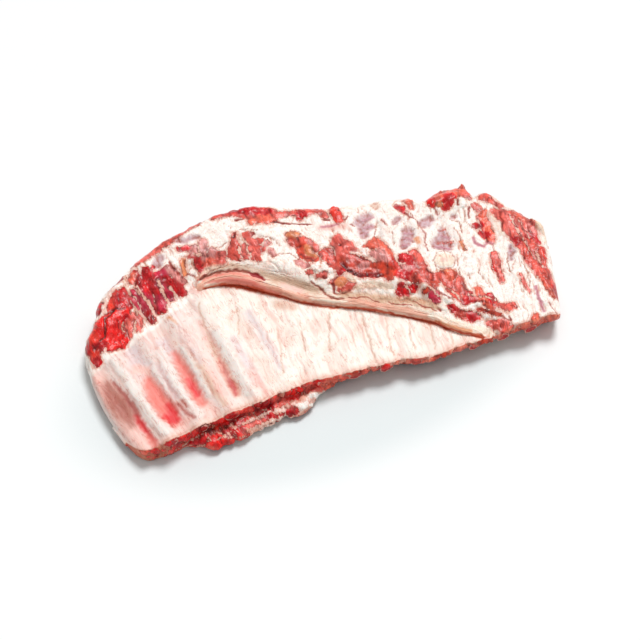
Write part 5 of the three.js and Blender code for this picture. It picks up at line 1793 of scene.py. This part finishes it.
@dataclass
class RibBones:
    """The rib bones, whose sawn ends show in the front face."""

    sides: int = 48
    cap_rings: int = 9
    rings: int = 16

    def bone(self, q: float) -> tuple[Array, Array]:
        """Gives one bone's loops: rings that widen over the sawn end, then run on behind.

        Args:
            q: The bone's rib line.

        Returns:
            The points, and a ring number that is 0 in the middle of the sawn end and 1 from
            its rim on.
        """
        front = PLAN.front(q)
        back = min(PLAN.rib_back_y, PLAN.back(q) - PLAN.rib_back_margin)
        cap = np.linspace(0.04, 1.0, self.cap_rings)
        t = np.concatenate([np.zeros(self.cap_rings), np.linspace(0.0, 1.0, self.rings)[1:] ** 1.5])
        ring = np.concatenate([cap, np.ones(self.rings - 1)])[:, None]
        y = mix(front - PLAN.rib_end_proud, back, t)[:, None]
        x = PLAN.fan_x(q, y)
        behind = PLAN.behind(x, np.maximum(y, front + 2.0))
        ridge = PLAN.side_height(q) + PLAN.ridges(q, np.minimum(behind, 0.0))
        z = ridge - PLAN.rib_cover - PLAN.rib_thickness / 2.0
        waist = (1.0 - 0.14 * np.sin(np.pi * t))[:, None]
        angle = np.linspace(0.0, 2.0 * np.pi, self.sides, endpoint=False)[None]
        half = PLAN.rib_width / 2.0 * waist * ring
        p = np.stack([x + half * np.cos(angle), y + 0.0 * angle,
                      z + PLAN.rib_thickness / 2.0 * ring * np.sin(angle)], axis=-1)
        worn = (1.0 - t[:, None]) ** 8 * ring
        p[..., 1] += worn * 0.9 * (ring - 0.8) * (ring < 1.0) + 0.7 * worn * NOISE.field(p, 2.2)
        radial = np.stack([np.cos(angle), 0.0 * angle, np.sin(angle)], axis=-1)
        p += radial * (0.6 * worn * NOISE.field(p + 31.0, 4.0))[..., None]
        return p, np.broadcast_to(ring, p.shape[:2])

    def dress(self) -> None:
        """Builds every bone and gives it its finish."""
        material = BoneFinish("sawn_rib_bone").material()
        for k, q in enumerate(PLAN.rib_lines()):
            p, ring = self.bone(q)
            faces = [f[:, ::-1] for f in loop_faces(*p.shape[:2])]
            piece = make_piece(f"rib_end_{k + 1:02d}", p, faces, {"ring": ring.reshape(-1)})
            piece.data.materials.append(material)
            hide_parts(f"rib_bone_{k + 1:02d}")


@dataclass
class Studio:
    """The pale floor with a soft oval of shade, the light from behind on the right, and the camera."""

    floor_size: float = 6.0
    floor_gap: float = 0.0003
    floor_colour: Colour = (0.935, 0.946, 0.949)
    shade: Colour = (0.865, 0.891, 0.896)
    shade_middle: tuple[float, float, float] = (-0.030, -0.045, 0.0)
    shade_reach: tuple[float, float] = (0.215, 0.128)
    shade_edge: tuple[float, float] = (1.22, 0.86)
    sky: float = 0.50
    sun: float = 2.45
    sun_angle: float = 24.0
    sun_from: tuple[float, float, float] = (0.46, 0.42, 1.0)
    sky_colour: Colour = (1.0, 0.985, 0.965)

    def floor(self) -> None:
        """Lays a flat floor under the rack, with painted shade darkening an oval to its front left."""
        half = self.floor_size / 2.0
        mesh = bpy.data.meshes.new("floor")
        mesh.from_pydata([(-half, -half, 0), (half, -half, 0), (half, half, 0), (-half, half, 0)],
                         [], [(0, 1, 2, 3)])
        floor = bpy.data.objects.new("floor", mesh)
        floor.location.z = -self.floor_gap
        bpy.context.scene.collection.objects.link(floor)
        shader = Shader("pale_floor")
        settings, sockets = {"operation": "SUBTRACT"}, {0: shader.places(), 1: self.shade_middle}
        offset = shader.node("ShaderNodeVectorMath", settings, sockets).outputs[0]
        squashed = shader.scaled(offset, (1.0 / self.shade_reach[0], 1.0 / self.shade_reach[1], 0.0))
        length = shader.node("ShaderNodeVectorMath", {"operation": "LENGTH"}, {0: squashed})
        # Painted shade: the floor colour darkens towards the shade colour inside the oval
        near = Value(shader, length.outputs["Value"]).rise(*self.shade_edge)
        colour = shader.mixed(near, self.floor_colour, self.shade)
        speck = shader.noise(shader.places(), 40.0)
        constants = {"Roughness": 0.6, "Specular IOR Level": 0.2}
        shader.finish(constants, {"Base Color": colour}, speck, 0.02)
        mesh.materials.append(shader.material)

    def light(self) -> None:
        """Sets a warm pale sky and one soft white sun."""
        world = bpy.data.worlds.new("studio")
        world.use_nodes = True
        background = world.node_tree.nodes["Background"]
        background.inputs["Color"].default_value = (*self.sky_colour, 1.0)
        background.inputs["Strength"].default_value = self.sky
        bpy.context.scene.world = world
        lamp = bpy.data.lights.new("window", "SUN")
        lamp.energy = self.sun
        lamp.angle = np.radians(self.sun_angle)
        sun = bpy.data.objects.new("window", lamp)
        sun.rotation_euler = Vector(self.sun_from).to_track_quat("Z", "Y").to_euler()
        bpy.context.scene.collection.objects.link(sun)

    def camera(self) -> None:
        """Puts the camera at the photograph's viewing angle."""
        right, up, back = view_axes()
        place = (np.array(CAMERA_TARGET) + SHIFT + DISTANCE * back) * MM
        lens = bpy.data.cameras.new("camera")
        lens.lens = FOCAL_LENGTH
        lens.sensor_width = SENSOR_WIDTH
        camera = bpy.data.objects.new("camera", lens)
        turn = Matrix([right, up, back]).transposed()
        camera.matrix_world = Matrix.Translation(Vector(place)) @ turn.to_4x4()
        bpy.context.scene.collection.objects.link(camera)
        bpy.context.scene.camera = camera

    def dress(self) -> None:
        """Makes the whole stage."""
        self.floor()
        self.light()
        self.camera()
        view = bpy.context.scene.view_settings
        view.view_transform = "Standard"
        view.look = "None"


def main() -> None:
    """Builds the stage and the rack in order."""
    logging.basicConfig(level=logging.INFO, format="%(message)s")
    for part in (Studio(), MeatSlab(), SkirtFlap(), RibBones()):
        part.dress()
        log.info("%s is dressed", type(part).__name__)
    bpy.context.view_layer.update()


if __name__ == "__main__":
    main()
